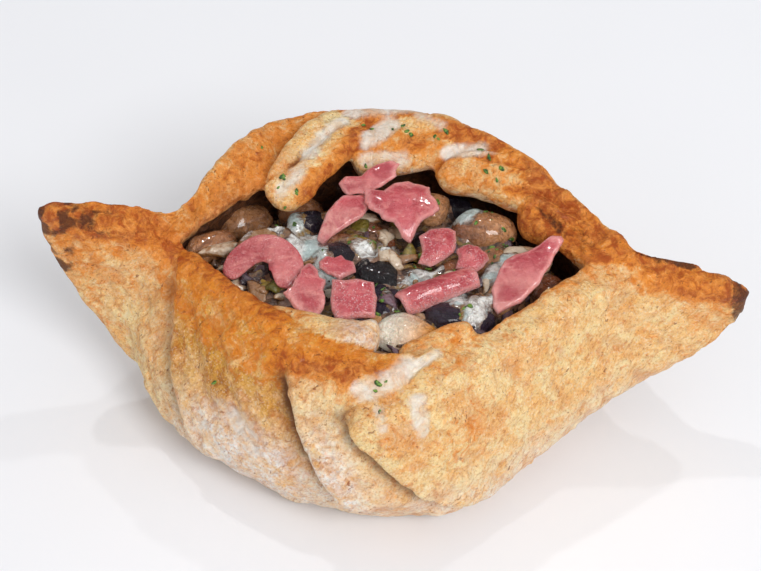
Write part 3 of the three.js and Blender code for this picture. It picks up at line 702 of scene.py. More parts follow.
def crust_paint():
    p = Paint("baked_crust")
    large = p.noise(15, 4, 0.6, 0.6)
    medium = p.noise(5, 5, 0.62, 0.8)
    mottle = p.noise(2.6, 5, 0.65, 0.8)
    small = p.noise(1.3, 4, 0.6, 0.4)
    grain = p.noise(0.55, 3, 0.6)
    fibre = p.noise(1.1, 4, 0.6, 0.5, stretch=(3.2, 1, 1), turn=FIBRE_TURN)
    grit = p.noise(1.5, 5, 0.7, 1.0, stretch=(2.2, 1, 1), turn=FIBRE_TURN)
    bran = p.noise(1.0, 2, 0.5, 0.6, stretch=(1.8, 1, 1), turn=FIBRE_TURN)

    base = p.tint(medium, 0.38, 0.62, (252, 194, 116), (255, 226, 164))
    base = p.flecked(base, (large, 0.45, 0.65, 0.45, (244, 160, 82)),
                     (mottle, 0.54, 0.68, 0.5, (226, 130, 54)), (mottle, 0.46, 0.32, 0.5, (255, 222, 162)),
                     (fibre, 0.54, 0.68, 0.4, (202, 112, 48)), (fibre, 0.45, 0.34, 0.25, (255, 230, 186)),
                     (grit, 0.48, 0.36, 0.3, (255, 238, 204)))
    # painted highlight: the skin is lighter where its relief stands high
    base = p.over(base, p.mask("bump"), (255, 222, 160), 0.4)
    floury = p.tint(small, 0.38, 0.62, (250, 216, 184), (255, 250, 244))
    floury = p.flecked(floury, (fibre, 0.52, 0.64, 0.4, (212, 154, 114)))
    base = p.over(base, p.mask("flour"), floury, p.ramp(medium, 0.25, 0.55))
    mustard = p.tint(mottle, 0.4, 0.62, (228, 166, 66), (190, 116, 18))
    base = p.over(base, p.mask("mustard"), mustard, p.ramp(medium, 0.3, 0.55))
    base = p.flecked(base, (grain, 0.54, 0.68, 0.4, (178, 98, 42)), (grain, 0.46, 0.34, 0.4, (255, 244, 220)))

    browning = p.sway(p.mask("browning"), (mottle, 1.6), (medium, 0.8))
    base = p.flecked(base, (browning, 0.3, 0.85, 0.85, (236, 136, 24)),
                     (browning, 0.75, 1.25, 0.88, (166, 66, 4)), (bran, 0.66, 0.73, 0.75, (142, 74, 28)))
    base = p.over(base, p.mask("cut"), p.tint(small, 0.4, 0.6, (200, 104, 36), (238, 156, 88)), 0.85)
    # charred tips and corner, with painted shade in the top creases
    burnt = p.sway(p.mask("burnt"), (small, 1.1))
    base = p.flecked(base, (burnt, 0.35, 0.9, 0.88, (72, 32, 14)))
    # painted shade: the skin is darker where its relief lies low
    base = p.over(base, p.mask("hollow"), (200, 108, 42), 0.3)
    base = p.flecked(base, (grit, 0.54, 0.66, 0.45, (176, 92, 36)))
    # painted shadow beside the lap edges
    base = p.over(base, p.mask("crease"), (98, 46, 18), 0.9)
    # painted shade on the cavity's inner wall
    base = p.over(base, p.mask("inner"), p.tint(mottle, 0.4, 0.6, (70, 38, 20), (112, 66, 34)))

    wet = p.sway(p.mask("sauce"), (small, 0.6), (medium, 0.9))
    sauce = p.calc("MULTIPLY", p.ramp(wet, 0.1, 0.95), 0.86)
    skin = p.over(base, sauce, p.tint(medium, 0.35, 0.65, (228, 208, 186), (240, 234, 224)))
    height = p.total((small, 0.8), (p.noise(0.6, 5, 0.7), 0.5), (fibre, 1.1), (mottle, 0.9))
    height = p.calc("MULTIPLY", height, p.calc("SUBTRACT", 1.0, p.calc("MULTIPLY", sauce, 0.8)))
    relief = p.bump(p.total((height, 1.0), (grit, 1.2)), 0.75)
    rough = p.blend(sauce, p.blend(p.ramp(small, 0.3, 0.7), 0.45, 0.7), 0.25)
    return p.finish(Base_Color=skin, Roughness=rough, Normal=relief, Specular_IOR_Level=0.35,
                    inside=(0.06, 1.2, 0.7, 0.4))


def make_crust():
    shells, tags = crust_sources()
    mesh = remeshed("crust_baked", shells, VOXEL)
    points = relax(points_of(mesh), edges_of(mesh), 2)
    set_points(mesh, points)
    tag = nearest_tags(points, shells, tags)
    normals = normals_of(mesh)
    masks = crust_masks(points, normals, tag)
    lift, masks["hollow"], masks["bump"] = crust_relief(points, tag, masks)
    raised = points + normals * lift[:, None]
    raised[:, 2] = np.maximum(raised[:, 2], 0)
    set_points(mesh, raised)
    for name, values in masks.items():
        set_mask(mesh, name, values)
    crust = make_object("crust_baked", mesh, crust_paint())
    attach(crust, BODY)
    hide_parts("crust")
    return crust


# ---------------------------------------------------------------- filling shapes

HEAP = dict(rim_loop=11.7, floor_loop=14, inset=0.95, lift=0.6, middle=(-2.0, 2.0), reach=(50, 34),
            floor=6.6, height=48.0, fall=8.0, core_drop=4.2)
SAGS = [dict(at=(-34, 23), depth=5.0, width=12), dict(at=(-8, 32), depth=4.0, width=9),
        dict(at=(17, 27), depth=3.5, width=9), dict(at=(44, 8), depth=3.0, width=8)]


def heap_height(x, y):
    """The top of the heap, which hangs lower under the back's folds."""
    middle, reach = HEAP["middle"], HEAP["reach"]
    outwards = np.hypot((x - middle[0]) / reach[0], (y - middle[1]) / reach[1])
    top = HEAP["height"] - HEAP["fall"] * outwards**2
    for sag in SAGS:
        top = top - sag["depth"] * bell(np.hypot(x - sag["at"][0], y - sag["at"][1]), sag["width"])
    return top


def inside_wall(s, angle):
    wall = crust_surface(s, angle)
    return wall * (HEAP["inset"], HEAP["inset"], 1) + (0, 0, HEAP["lift"])


def core_shell():
    """The mass under the beans: up the cavity's wall and over the heap."""
    angle = np.linspace(0, 2 * math.pi, 200, endpoint=False)
    rows = [np.tile((*HEAP["middle"], HEAP["floor"]), (len(angle), 1))]
    for s in np.linspace(HEAP["floor_loop"], HEAP["rim_loop"], 12):
        rows.append(inside_wall(np.full_like(angle, s), angle))
    rim = rows[-1]
    for inwards in np.linspace(0, 1, 46)[1:]:
        x = rim[:, 0] + inwards * (HEAP["middle"][0] - rim[:, 0])
        y = rim[:, 1] + inwards * (HEAP["middle"][1] - rim[:, 1])
        top = heap_height(x, y) - HEAP["core_drop"]
        z = rim[:, 2] + smooth(3 * inwards) * (top - rim[:, 2])
        place = np.stack([x, y, z], -1)
        z = z + smooth(4 * inwards) * (1.2 * noise(place, 7, 51) + 0.5 * noise(place, 3, 52))
        rows.append(np.stack([x, y, z], -1))
    return loft(rows)


def turned(points, turn, at):
    """Points rolled, pitched and yawed (degrees), then moved."""
    yaw, pitch, roll = (math.radians(t) for t in turn)
    spin = Matrix.Rotation(yaw, 3, "Z") @ Matrix.Rotation(pitch, 3, "Y") @ Matrix.Rotation(roll, 3, "X")
    return points @ np.array(spin).T + np.asarray(at, float)


def bean_shell(size, bend, seed, steps=26, around=28):
    """A kidney shape of this length, width and height."""
    length, width, height = size
    u = -np.cos(np.linspace(0, math.pi, steps))[:, None]
    a = np.linspace(0, 2 * math.pi, around, endpoint=False)[None, :]
    girth = np.sqrt(np.maximum(1 - np.abs(u) ** 2.3, 0))
    x = length / 2 * u * np.ones_like(a)
    y = width / 2 * girth * np.cos(a) - bend * width * (u**2 - 0.35)
    z = height / 2 * girth * np.sin(a)
    # the scar is a shallow dent in the inner side
    dent = 0.09 * width * bell(u, 0.22) * bell(np.cos(a) - 1, 0.25)
    verts, faces = loft(np.stack([x, y - dent, z], -1))
    out = unit(verts / np.array([length, width, height]) ** 2)
    seeded = verts + (97.0 * seed, 0, 0)
    verts = verts + out * (0.9 * noise(seeded, 5, 61) + 0.3 * noise(seeded, (3.5, 1.5, 1.5), 62))[:, None]
    return verts, faces


# Beans that show clearly: where, length, width and height, turn, bend, tone, and for
# some how much darker they grow along their length. A tone of 0 is the kind's palest
# and 1 its darkest.
BEANS = dict(
    pinto=[((21.5, 19.5, 46.6), (17, 11.5, 10), (12, 6, 0), 0.05, 0.35, -1.3),
           ((8.5, 24.5, 48.3), (10, 8, 7.5), (60, 10, 0), 0.08, 0.15),
           ((-45, 11.5, 44.6), (13, 8.5, 7), (20, -14, 0), 0.1, 0.45),
           ((37.5, 2, 44.2), (11, 8, 8), (60, 0, 0), 0.1, 0.95),
           ((-11.5, 12.0, 46.4), (10.5, 7, 6), (-20, 8, 0), 0.1, 0.75),
           ((-4.5, 16.5, 46.2), (10, 6, 6), (-30, 0, 0), 0.1, 0.90),
           ((-38, 26, 39.8), (14, 9, 8.5), (25, 0, 0), 0.1, 0.35),
           ((-24, 28, 41.5), (12, 8.5, 8), (-10, 0, 0), 0.1, 0.6),
           ((30, 8, 45), (10, 7, 7), (-40, 0, 0), 0.1, 0.2),
           ((24, 8.5, 46.6), (10, 8, 6.5), (30, 0, 10), 0.1, 0.5),
           ((26.5, -2.5, 46), (10.5, 8, 7), (70, 0, 0), 0.1, 0.05),
           ((15, 4.5, 46.2), (11, 7.5, 7), (60, 0, 0), 0.1, 0.8)],
    black=[((-13.4, 7.6, 46.6), (13, 8.5, 7.5), (12, 8, 0), 0.1, 0.8),
           ((-3.5, 2.4, 46.6), (12.5, 8.5, 8), (-40, 6, 0), 0.1, 1.0),
           ((-22.5, 19.5, 45.6), (11, 8, 7), (35, 0, 0), 0.1, 0.6),
           ((14, -10.0, 45.8), (12.5, 8, 7.5), (-10, 0, 0), 0.1, 0.5),
           ((-1.5, -5.5, 45.4), (12, 8, 7), (80, 0, 0), 0.1, 0.2),
           ((20, -11, 45.2), (11, 8, 7), (40, 0, 0), 0.1, 0.35),
           ((13, 29, 44), (12, 8, 7), (15, 0, 0), 0.1, 0.9),
           ((-26.5, 3, 45.5), (11, 7, 6.5), (-60, 0, 0), 0.1, 0.9)],
    cream=[((5.2, -16.6, 46.2), (17, 11, 9.5), (-8, 4, 0), 0.06, 0.45, 1.9),
           ((-2, -13.5, 44), (11, 8, 7), (40, 0, 0), 0.1, 0.8),
           ((33, 12.5, 44.2), (10, 7, 7), (0, 0, 0), 0.1, 0.6)],
)
# The beans between them: each kind's share and usual size, and each layer's depth and number of tries.
SMALL_BEANS = dict(pinto=dict(share=0.52, size=(11.5, 7.8, 7)), black=dict(share=0.34, size=(11, 7.5, 6.8)),
                   cream=dict(share=0.14, size=(11, 7.5, 7)))
BEAN_LAYERS = [(3.6, 700), (7.0, 500)]


def scattered_beans(random):
    """Fills the heap between the placed beans, in two layers."""
    rim_angle = np.linspace(0, 2 * math.pi, 721)
    rim = inside_wall(np.full_like(rim_angle, HEAP["rim_loop"]), rim_angle)
    taken = [(np.array(bean[0]), bean[1][0]) for kind in BEANS.values() for bean in kind]
    kinds = list(SMALL_BEANS)
    shares = [SMALL_BEANS[kind]["share"] for kind in kinds]
    found = {kind: [] for kind in kinds}
    for depth, tries in BEAN_LAYERS:
        for _ in range(tries):
            edge = rim[random.integers(720)]
            inwards = 0.13 + 0.87 * (1 - math.sqrt(random.random()))
            x, y = edge[:2] + inwards * (np.array(HEAP["middle"]) - edge[:2])
            kind = kinds[random.choice(3, p=shares)]
            size = np.array(SMALL_BEANS[kind]["size"]) * random.uniform(0.85, 1.15)
            z = heap_height(x, y) - depth + random.uniform(-0.7, 0.7) - 4 * bell(inwards, 0.2)
            turn = (random.uniform(0, 360), random.uniform(-22, 22), random.uniform(-20, 20))
            bend, tone = random.uniform(0.05, 0.13), random.random()
            at = np.array((x, y, z))
            near = min(np.linalg.norm(at - other) - 0.37 * (length + size[0]) for other, length in taken)
            if near < 0:
                continue
            taken.append((at, size[0]))
            found[kind].append((at, size, turn, bend, tone))
    return found


def plate_shell(outline, thick, curl, bow, seed, ragged=0.25, edge=1.4, rings=16, around=150):
    """A bent flake with this outline, thinner to its edge. Also gives each point's share of the way out."""
    outline = np.asarray(outline, float)
    angle = np.arctan2(outline[:, 1], outline[:, 0])
    order = np.argsort(angle)
    reach = np.hypot(*outline.T)
    a = np.linspace(-math.pi, math.pi, around, endpoint=False)
    border = np.stack([np.interp(a, angle[order], outline[order, axis], period=2 * math.pi)
                       for axis in (0, 1)], -1)
    place = np.concatenate([border, np.full((around, 1), 31.0 * seed)], 1)
    torn = smooth(noise(place, 7, 75) + 0.2)
    border = border * (1 + ragged * (0.5 * noise(place, 2.6, 71) + 0.5 * torn * noise(place, 1.1, 72))
                       / np.maximum(reach.mean(), 1))[:, None]
    size = np.abs(outline).max(0)
    share = 1 - (1 - np.linspace(0, 1, rings)) ** 1.6

    def layer(side):
        rows = []
        for r in share:
            flat = border * r
            from_edge = (1 - r) * np.hypot(*border.T)
            half = thick / 2 * np.sqrt(np.clip(1 - (1 - np.clip(from_edge / edge, 0, 1)) ** 2, 0, 1))
            middle = curl * (0.5 - (flat[:, 1] / size[1]) ** 2) + bow * (0.5 - (flat[:, 0] / size[0]) ** 2)
            deep = np.concatenate([flat, np.full((around, 1), 31.0 * seed + 9)], 1)
            middle = middle + 0.35 * noise(deep, 5, 73) + 0.12 * noise(deep, 1.7, 74)
            rows.append(np.concatenate([flat, (middle + side * half)[:, None]], 1))
        return rows

    top, bottom = layer(1), layer(-1)
    verts, faces = loft(bottom[:-1] + [top[-1]] + top[-2::-1])
    steps = np.concatenate([share[:1], np.repeat(share[1:-1], around), np.ones(around),
                            np.repeat(share[-2:0:-1], around), share[:1]])
    return verts, faces, steps


# Mushroom and vegetable shreds that show clearly: where, outline, turn, thickness,
# curl, bow and tone. The small scattered ones also have a kind.
SHREDS = [
    ((-31, 9.0, 47.6),
     [(-7, -2), (-5, 3), (-1, 5.5), (3, 5), (7, 1.5), (7.5, -2), (4, -3), (1, -1.5), (-3, -4)],
     (-8, 6, 18), 3.0, 2.5, 1.5, 0.55),
    ((-24.5, 10.5, 48.6), [(-6, 0), (-3, 2), (1, 1.8), (6, -1), (5, -3), (0, -1.5)],
     (-42, 14, 30), 1.6, 1.5, 1.0, 0.9),
    ((-0.3, 5.6, 49.2), [(-4, 0.5), (-2, 2.6), (1, 2), (4, 0), (3, -2), (0, -1), (-2, -2.4)],
     (-30, 10, 24), 1.8, 1, 1, 0.2),
    ((29.5, 11.0, 47.8), [(-4, 0), (-2, 2.5), (2, 2), (4, -1), (1, -2.4)], (10, 0, 20), 2.0, 1, 0.5, 0.1),
    ((21.0, -6.4, 46.8), [(-4, -1), (-2, 3), (1.5, 4), (3, 0), (2, -4), (-2, -3)],
     (20, 10, 20), 2.2, 1.5, 1, 0.8),
    ((11.5, 8.0, 46.5), [(-3, 0), (-1, 3), (2, 2), (3, -1), (0, -3)], (0, 0, 10), 2.2, 1, 0, 0.65),
    ((24.5, 1.0, 47.2), [(-4, -2), (-2.5, 2), (1, 3.5), (3.5, 1), (2, -3)], (30, 0, 26), 2.0, 1.4, 0.5, 0.15),
    ((-42, 8.5, 46.2), [(-6, 0), (-2, 2.6), (4, 2), (7, -1), (1, -2)], (16, -6, 14), 1.8, 1.5, 0.5, 0.3),
    ((-17.5, 22.0, 46.5), [(-3, -1), (-1, 2), (3, 1), (2, -2)], (40, 0, 20), 1.6, 1, 0, 0.5),
    ((5.5, 0.0, 46.5), [(-4, 0), (0, 2.5), (4, 1), (2, -2)], (30, 0, 20), 1.6, 1, 0, 0.4),
    ((-8.5, 20.5, 48.0), [(-4, -1), (-2, 2.4), (3, 2.4), (5, 0), (1, -2)], (-10, 0, 10), 1.6, 1, 0, 0.1),
]


def scattered_shreds(random, count=170):
    """Small torn bits of skin and vegetable lying all over the heap."""
    found = []
    for _ in range(count):
        angle = random.uniform(0, 2 * math.pi)
        out = 0.8 * math.sqrt(random.random())
        rim = inside_wall(np.array(HEAP["rim_loop"]), np.array(angle))
        x, y = np.array(HEAP["middle"]) + out * (rim[:2] - HEAP["middle"])
        size = random.uniform(1.8, 6.0)
        around = np.linspace(-math.pi, math.pi, 9, endpoint=False)
        reach = size * random.uniform(0.5, 1.15, 9)
        outline = np.stack([reach * np.cos(around), random.uniform(0.35, 0.8) * reach * np.sin(around)], -1)
        at = (x, y, heap_height(x, y) + random.uniform(-1.2, 1.0))
        turn = (random.uniform(0, 360), random.uniform(-30, 30), random.uniform(-35, 35))
        thick, curl, tone = random.uniform(0.7, 1.8), random.uniform(0.3, 1.6), random.random()
        kind = random.choice([0.0, 0.5, 1.0], p=[0.5, 0.16, 0.34])
        found.append((at, outline, turn, thick, curl, 0.5, tone, kind))
    return found


def blurred(field, radius):
    """The field averaged over a round patch with soft edges, radius in cells."""
    reach = int(3 * radius)
    kernel = np.exp(-0.5 * (np.arange(-reach, reach + 1) / radius) ** 2)
    kernel /= kernel.sum()
    for axis in (0, 1):
        padded = np.pad(field, [(reach, reach) if k == axis else (0, 0) for k in (0, 1)], mode="edge")
        field = np.apply_along_axis(lambda line: np.convolve(line, kernel, mode="valid"), axis, padded)
    return field


def slab(xs, ys, top, bottom, keep, mask):
    """A closed sheet over the grid cells marked in keep, and the mask's value at each of its points."""
    columns = len(ys)
    flat_top = np.stack([np.repeat(xs, columns), np.tile(ys, len(xs)), top.ravel()], -1)
    flat_low = flat_top.copy()
    flat_low[:, 2] = bottom.ravel()
    under = len(flat_top)
    faces = []
    for i, k in zip(*np.nonzero(keep)):
        a, b, c, d = i * columns + k, (i + 1) * columns + k, (i + 1) * columns + k + 1, i * columns + k + 1
        faces += [(a, b, c, d), (d + under, c + under, b + under, a + under)]
        for (p, q), (di, dk) in {(a, b): (0, -1), (b, c): (1, 0), (c, d): (0, 1), (d, a): (-1, 0)}.items():
            ni, nk = i + di, k + dk
            if not (0 <= ni < keep.shape[0] and 0 <= nk < keep.shape[1] and keep[ni, nk]):
                faces.append((q, p, p + under, q + under))
    used = np.unique([v for face in faces for v in face])
    number = {v: n for n, v in enumerate(used)}
    verts = np.concatenate([flat_top, flat_low])[used]
    return verts, [tuple(number[v] for v in face) for face in faces], np.tile(mask.ravel(), 2)[used]


ABOVE_ALL = 80
NOTHING_THERE = (Vector((0, 0, -MM)), None)


def tree_of(thing):
    return BVHTree.FromObject(thing, bpy.context.evaluated_depsgraph_get())


def highest(trees, x, y):
    """The highest point of all the things at this place, and which way it faces."""
    hits = [tree.ray_cast(Vector((x, y, ABOVE_ALL)) * MM, Vector((0, 0, -1)))[:2] for tree in trees]
    return max((hit for hit in hits if hit[0] is not None), key=lambda hit: hit[0].z, default=NOTHING_THERE)


# Where the sauce lies thick: middle and reach, in millimetres.
SAUCE_POOLS = [((-20, 8), 5), ((-21, 13), 4.5), ((-24, 16), 5), ((-29, 13), 4), ((-18, 3), 3.5),
               ((-15, 0), 4), ((-6, 8.5), 4), ((-2, 10), 4), ((7, 1), 4), ((17, 22), 3.5), ((25, 3), 5),
               ((28, 8), 4), ((20, -9), 4), ((3, -9), 3), ((-35, 9), 4), ((-26, 20), 5), ((15, -6), 5),
               ((-11, -4), 4)]
# The pale bean at the front has no sauce on it.
BARE_BEAN = (5.5, -17)
SAUCE_GRID = dict(step=0.55, x=(-52, 50), y=(-24, 36))
# The heap lies above the first height everywhere, and the second stands in where there is no heap.
HEAP_IS_ABOVE, BESIDE_HEAP = 30, 38.0


def make_sauce(below):
    """Thin sauce lying over and between the beans, from the height of what is under it."""
    step = SAUCE_GRID["step"]
    xs, ys = np.arange(*SAUCE_GRID["x"], step), np.arange(*SAUCE_GRID["y"], step)
    field = np.array([[highest(below, x, y)[0].z / MM for y in ys] for x in xs])
    gx, gy = np.meshgrid(xs, ys, indexing="ij")
    place = np.stack([gx, gy, np.zeros_like(gx)], -1)
    pools = np.zeros_like(gx)
    for (x, y), reach in SAUCE_POOLS:
        pools = np.maximum(pools, bell(np.hypot(gx - x, gy - y), reach))
    streams = layered(place @ np.array(Matrix.Rotation(0.9, 3, "Z")), (9, 3.2, 5), 83)
    bare = bell(np.hypot(gx - BARE_BEAN[0], gy - BARE_BEAN[1]), 8)
    wet = np.clip(0.24 + 0.3 * layered(place, 5, 81) + 0.3 * streams + 0.7 * pools - 0.9 * bare, 0, 1)
    inside = field > HEAP_IS_ABOVE
    filled = np.where(inside, field, BESIDE_HEAP)
    level = blurred(filled, 1.7 / step) - 0.75 + 2.2 * wet
    film = filled + 0.6 * smooth((wet - 0.5) / 0.35) - 0.12 + 0.16 * layered(place, 2.8, 82)
    top = blurred(np.maximum(level, np.where(wet > 0.47, film, -9)), 0.6)
    top = top + 0.16 * layered(place, (3.4, 1.8, 2), 84)
    shown = inside & (top > filled - 0.35)
    cells = shown[:-1, :-1] | shown[1:, :-1] | shown[:-1, 1:] | shown[1:, 1:]
    cells &= inside[:-1, :-1] & inside[1:, :-1] & inside[:-1, 1:] & inside[1:, 1:]
    return slab(xs, ys, top, np.minimum(top, filled) - 0.8, cells, smooth((wet - 0.44) / 0.45))


# Chopped herb: middle of a patch, its reach and how many flecks lie there.
HERBS = [((-28, 22), 2.5, 3), ((-25, 19), 2, 2), ((-8, 39), 3, 3), ((0, 37), 4, 4), ((10, 38), 3, 3),
         ((20, 33), 3, 2), ((23, 27), 4, 3), ((-34, 32), 2, 1), ((-8, 30), 2, 1), ((20, 20), 5, 4),
         ((26, 15), 4, 6), ((23, 10), 3, 4), ((24, 7), 2, 2), ((-6, 12), 4, 4), ((8, 6), 4, 4),
         ((-4, -2), 6, 3), ((-26, 15), 5, 4), ((18, -10), 4, 3), ((10, 24), 2, 2), ((0, -10), 4, 2),
         ((0, -35), 1.8, 3), ((1, -39), 1.5, 2), ((-40, -22), 1, 1), ((0, 5), 25, 26)]


def make_herbs(below):
    """Flecks of herb laid on whatever is highest at each place."""
    random = np.random.default_rng(23)
    around = np.linspace(-math.pi, math.pi, 7, endpoint=False)
    oval = np.stack([np.cos(around), 0.6 * np.sin(around)], -1)
    shells = []
    for (x0, y0), reach, count in HERBS:
        for _ in range(count):
            x, y = np.array((x0, y0)) + reach * random.uniform(-0.7, 0.7, 2)
            place, facing = highest(below, x, y)
            size = random.uniform(0.45, 1.15)
            outline = size * oval * random.uniform(0.6, 1.2, (7, 1))
            verts, faces, _ = plate_shell(outline, 0.3, 0.15 * size, 0.1, len(shells), 0.5, 0.3,
                                          rings=4, around=16)
            tilt = Vector((0, 0, 1)).rotation_difference(facing).to_matrix()
            tilt = tilt @ Matrix.Rotation(random.uniform(0, 6), 3, "Z")
            verts = verts @ np.array(tilt).T + np.array(place) / MM + 0.12 * np.array(facing)
            shells.append((verts, faces))
    add_piece("herb_flecks", shells, herb_paint(), "filling")


# ---------------------------------------------------------------- filling looks

def bean_paint(name, pale, dark, mottle, rough, mottle_share, shine=0.7):
    p = Paint(name)
    fine = p.noise(0.8, 3, 0.6)
    sauced = p.sway(p.mask("sauced"), (p.noise(1.8, 5, 0.65, 1.0), 2.0))
    skin = p.mix(p.mask("tone"), colour(*pale), colour(*dark))
    skin = p.flecked(skin, (p.noise(3.2, 5, 0.65, 1.5), 0.45, 0.62, mottle_share, mottle),
                     (fine, 0.6, 0.75, 0.35, mottle), (sauced, 0.6, 1.0, 0.4, (232, 220, 208)))
    return p.finish(Base_Color=skin, Roughness=p.blend(p.ramp(fine, 0.4, 0.7), rough, rough + 0.2),
                    Normal=p.bump(p.noise(1.6, 5, 0.65, 0.6), 1.7), Specular_IOR_Level=shine,
                    Coat_Weight=shine, Coat_Roughness=0.06, inside=(0.12, 1.5, 0.8, 0.5))


def core_paint():
    p = Paint("filling_core")
    # Painted shade: the core shows only in the gaps between the beans and is painted near black there.
    mass = p.tint(p.noise(5, 4, 0.6), 0.4, 0.65, (22, 12, 8), (58, 38, 28))
    mass = p.flecked(mass, (p.noise(1.4, 4), 0.55, 0.7, 0.5, (120, 96, 76)))
    return p.finish(Base_Color=mass, Roughness=p.blend(p.noise(2, 2), 0.15, 0.5),
                    Normal=p.bump(p.noise(1.5, 5, 0.65), 1.2))


def sauce_paint():
    p = Paint("cream_sauce")
    thin = p.tint(p.noise(3, 4, 0.6, 0.8), 0.4, 0.6, (64, 38, 26), (142, 104, 80))
    thin = p.flecked(thin, (p.noise(4, 3, 0.6, 0.8), 0.54, 0.62, 0.7, (168, 132, 62)),
                     (p.noise(4.5, 3, 0.6, 0.9), 0.42, 0.34, 0.8, (44, 32, 42)))
    cream = p.tint(p.noise(2.6, 5, 0.65, 1.0), 0.36, 0.56, (172, 162, 154), (248, 248, 244))
    cream = p.flecked(cream, (p.noise(8, 3, 0.5), 0.44, 0.56, 0.7, (186, 214, 214)))
    flow = p.noise(1.6, 5, 0.65, 1.4, stretch=(2.2, 1, 1), turn=30)
    mass = p.mix(p.ramp(p.sway(p.mask("thick"), (flow, 2.0)), 0.1, 0.9), thin, cream)
    mass = p.flecked(mass, (p.noise(1.0, 3, 0.5), 0.64, 0.7, 0.4, (96, 78, 50)))
    return p.finish(Base_Color=mass, Roughness=p.blend(p.noise(1.5, 2), 0.08, 0.25),
                    Normal=p.bump(p.noise(1.6, 5, 0.65, 0.6), 1.7), Specular_IOR_Level=0.7, Coat_Weight=0.8,
                    Coat_Roughness=0.07, inside=(0.15, 1.6, 1.4, 1.1))


def shred_paint():
    p = Paint("vegetable_shreds")
    tone = p.sway(p.mask("tone"), (p.noise(2.4, 4, 0.6, 0.6), 1.4))
    kind = p.mask("kind")
    skin = p.tint(tone, 0.15, 0.6, (206, 186, 162), (150, 104, 62))
    skin = p.mix(p.ramp(tone, 0.6, 1.1), skin, colour(62, 38, 24))
    skin = p.mix(p.ramp(kind, 0.2, 0.4), skin, p.mix(tone, colour(196, 156, 66), colour(96, 92, 34)))
    skin = p.mix(p.ramp(kind, 0.6, 0.8), skin, p.mix(tone, colour(128, 100, 112), colour(36, 24, 34)))
    lines = p.noise(0.8, 3, 0.6, 0.3, stretch=(4, 1, 1), turn=10)
    skin = p.flecked(skin, (lines, 0.55, 0.68, 0.4, (96, 64, 40)))
    return p.finish(Base_Color=skin, Roughness=p.blend(p.noise(1.5, 2), 0.12, 0.36),
                    Normal=p.bump(p.noise(1.0, 4, 0.6), 0.7), Coat_Weight=0.7, Coat_Roughness=0.08,
                    inside=(0.15, 1.5, 1.0, 0.6))


def herb_paint():
    p = Paint("herb_flecks")
    leaf = p.tint(p.noise(0.8, 3), 0.4, 0.6, (36, 66, 16), (104, 140, 48))
    return p.finish(Base_Color=leaf, Roughness=0.4, Normal=p.bump(p.noise(0.4, 3), 0.15))


def add_piece(name, shells, material, node, masks=None):
    mesh = make_mesh(name, *join(shells))
    for mask, values in (masks or {}).items():
        set_mask(mesh, mask, values)
    thing = make_object(name, mesh, material)
    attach(thing, BODY)
    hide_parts(node)
    return thing


def make_filling():
    random = np.random.default_rng(12)
    heap = []

    def lay(name, shells, material, **masks):
        heap.append(add_piece(name, shells, material, "filling", masks))

    lay("filling_core", [core_shell()], core_paint())
    paints = dict(
        pinto=bean_paint("pinto_skin", (212, 152, 102), (120, 56, 20), (88, 42, 18), 0.12, 0.55),
        black=bean_paint("black_skin", (56, 40, 62), (10, 6, 14), (4, 3, 7), 0.08, 0.5, shine=0.35),
        cream=bean_paint("cream_skin", (255, 248, 230), (226, 146, 36), (206, 140, 60), 0.16, 0.2))
    extra = scattered_beans(random)
    for kind, placed in BEANS.items():
        shells, tones = [], []
        for number, (at, size, turn, bend, tone, *fade) in enumerate(placed + extra[kind]):
            verts, faces = bean_shell(size, bend, number)
            shells.append((turned(verts, turn, at), faces))
            tones.append(tone + (fade[0] if fade else random.uniform(-0.4, 0.4)) * verts[:, 0] / size[0])
        points = np.concatenate([v for v, _ in shells])
        lay("beans_" + kind, shells, paints[kind], tone=np.concatenate(tones),
            sauced=0.3 + 0.6 * layered(points, (7, 4, 5), 91))

    shells, tones, kinds = [], [], []
    all_shreds = SHREDS + scattered_shreds(random)
    for number, (at, outline, turn, thick, curl, bow, tone, *kind) in enumerate(all_shreds):
        rings, around = (5, 40) if kind else (12, 90)
        verts, faces, share = plate_shell(outline, thick, curl, bow, number, ragged=0.5,
                                          rings=rings, around=around)
        shells.append((turned(verts, turn, at), faces))
        tones.append(tone + 0.4 * smooth((share - 0.75) / 0.25))
        kinds.append(np.full(len(verts), kind[0] if kind else 0.0))
    lay("vegetable_shreds", shells, shred_paint(), tone=np.concatenate(tones), kind=np.concatenate(kinds))
    verts, faces, thick = make_sauce([tree_of(thing) for thing in heap])
    lay("cream_sauce", [(verts, faces)], sauce_paint(), thick=thick)
    return heap


# ---------------------------------------------------------------- onion

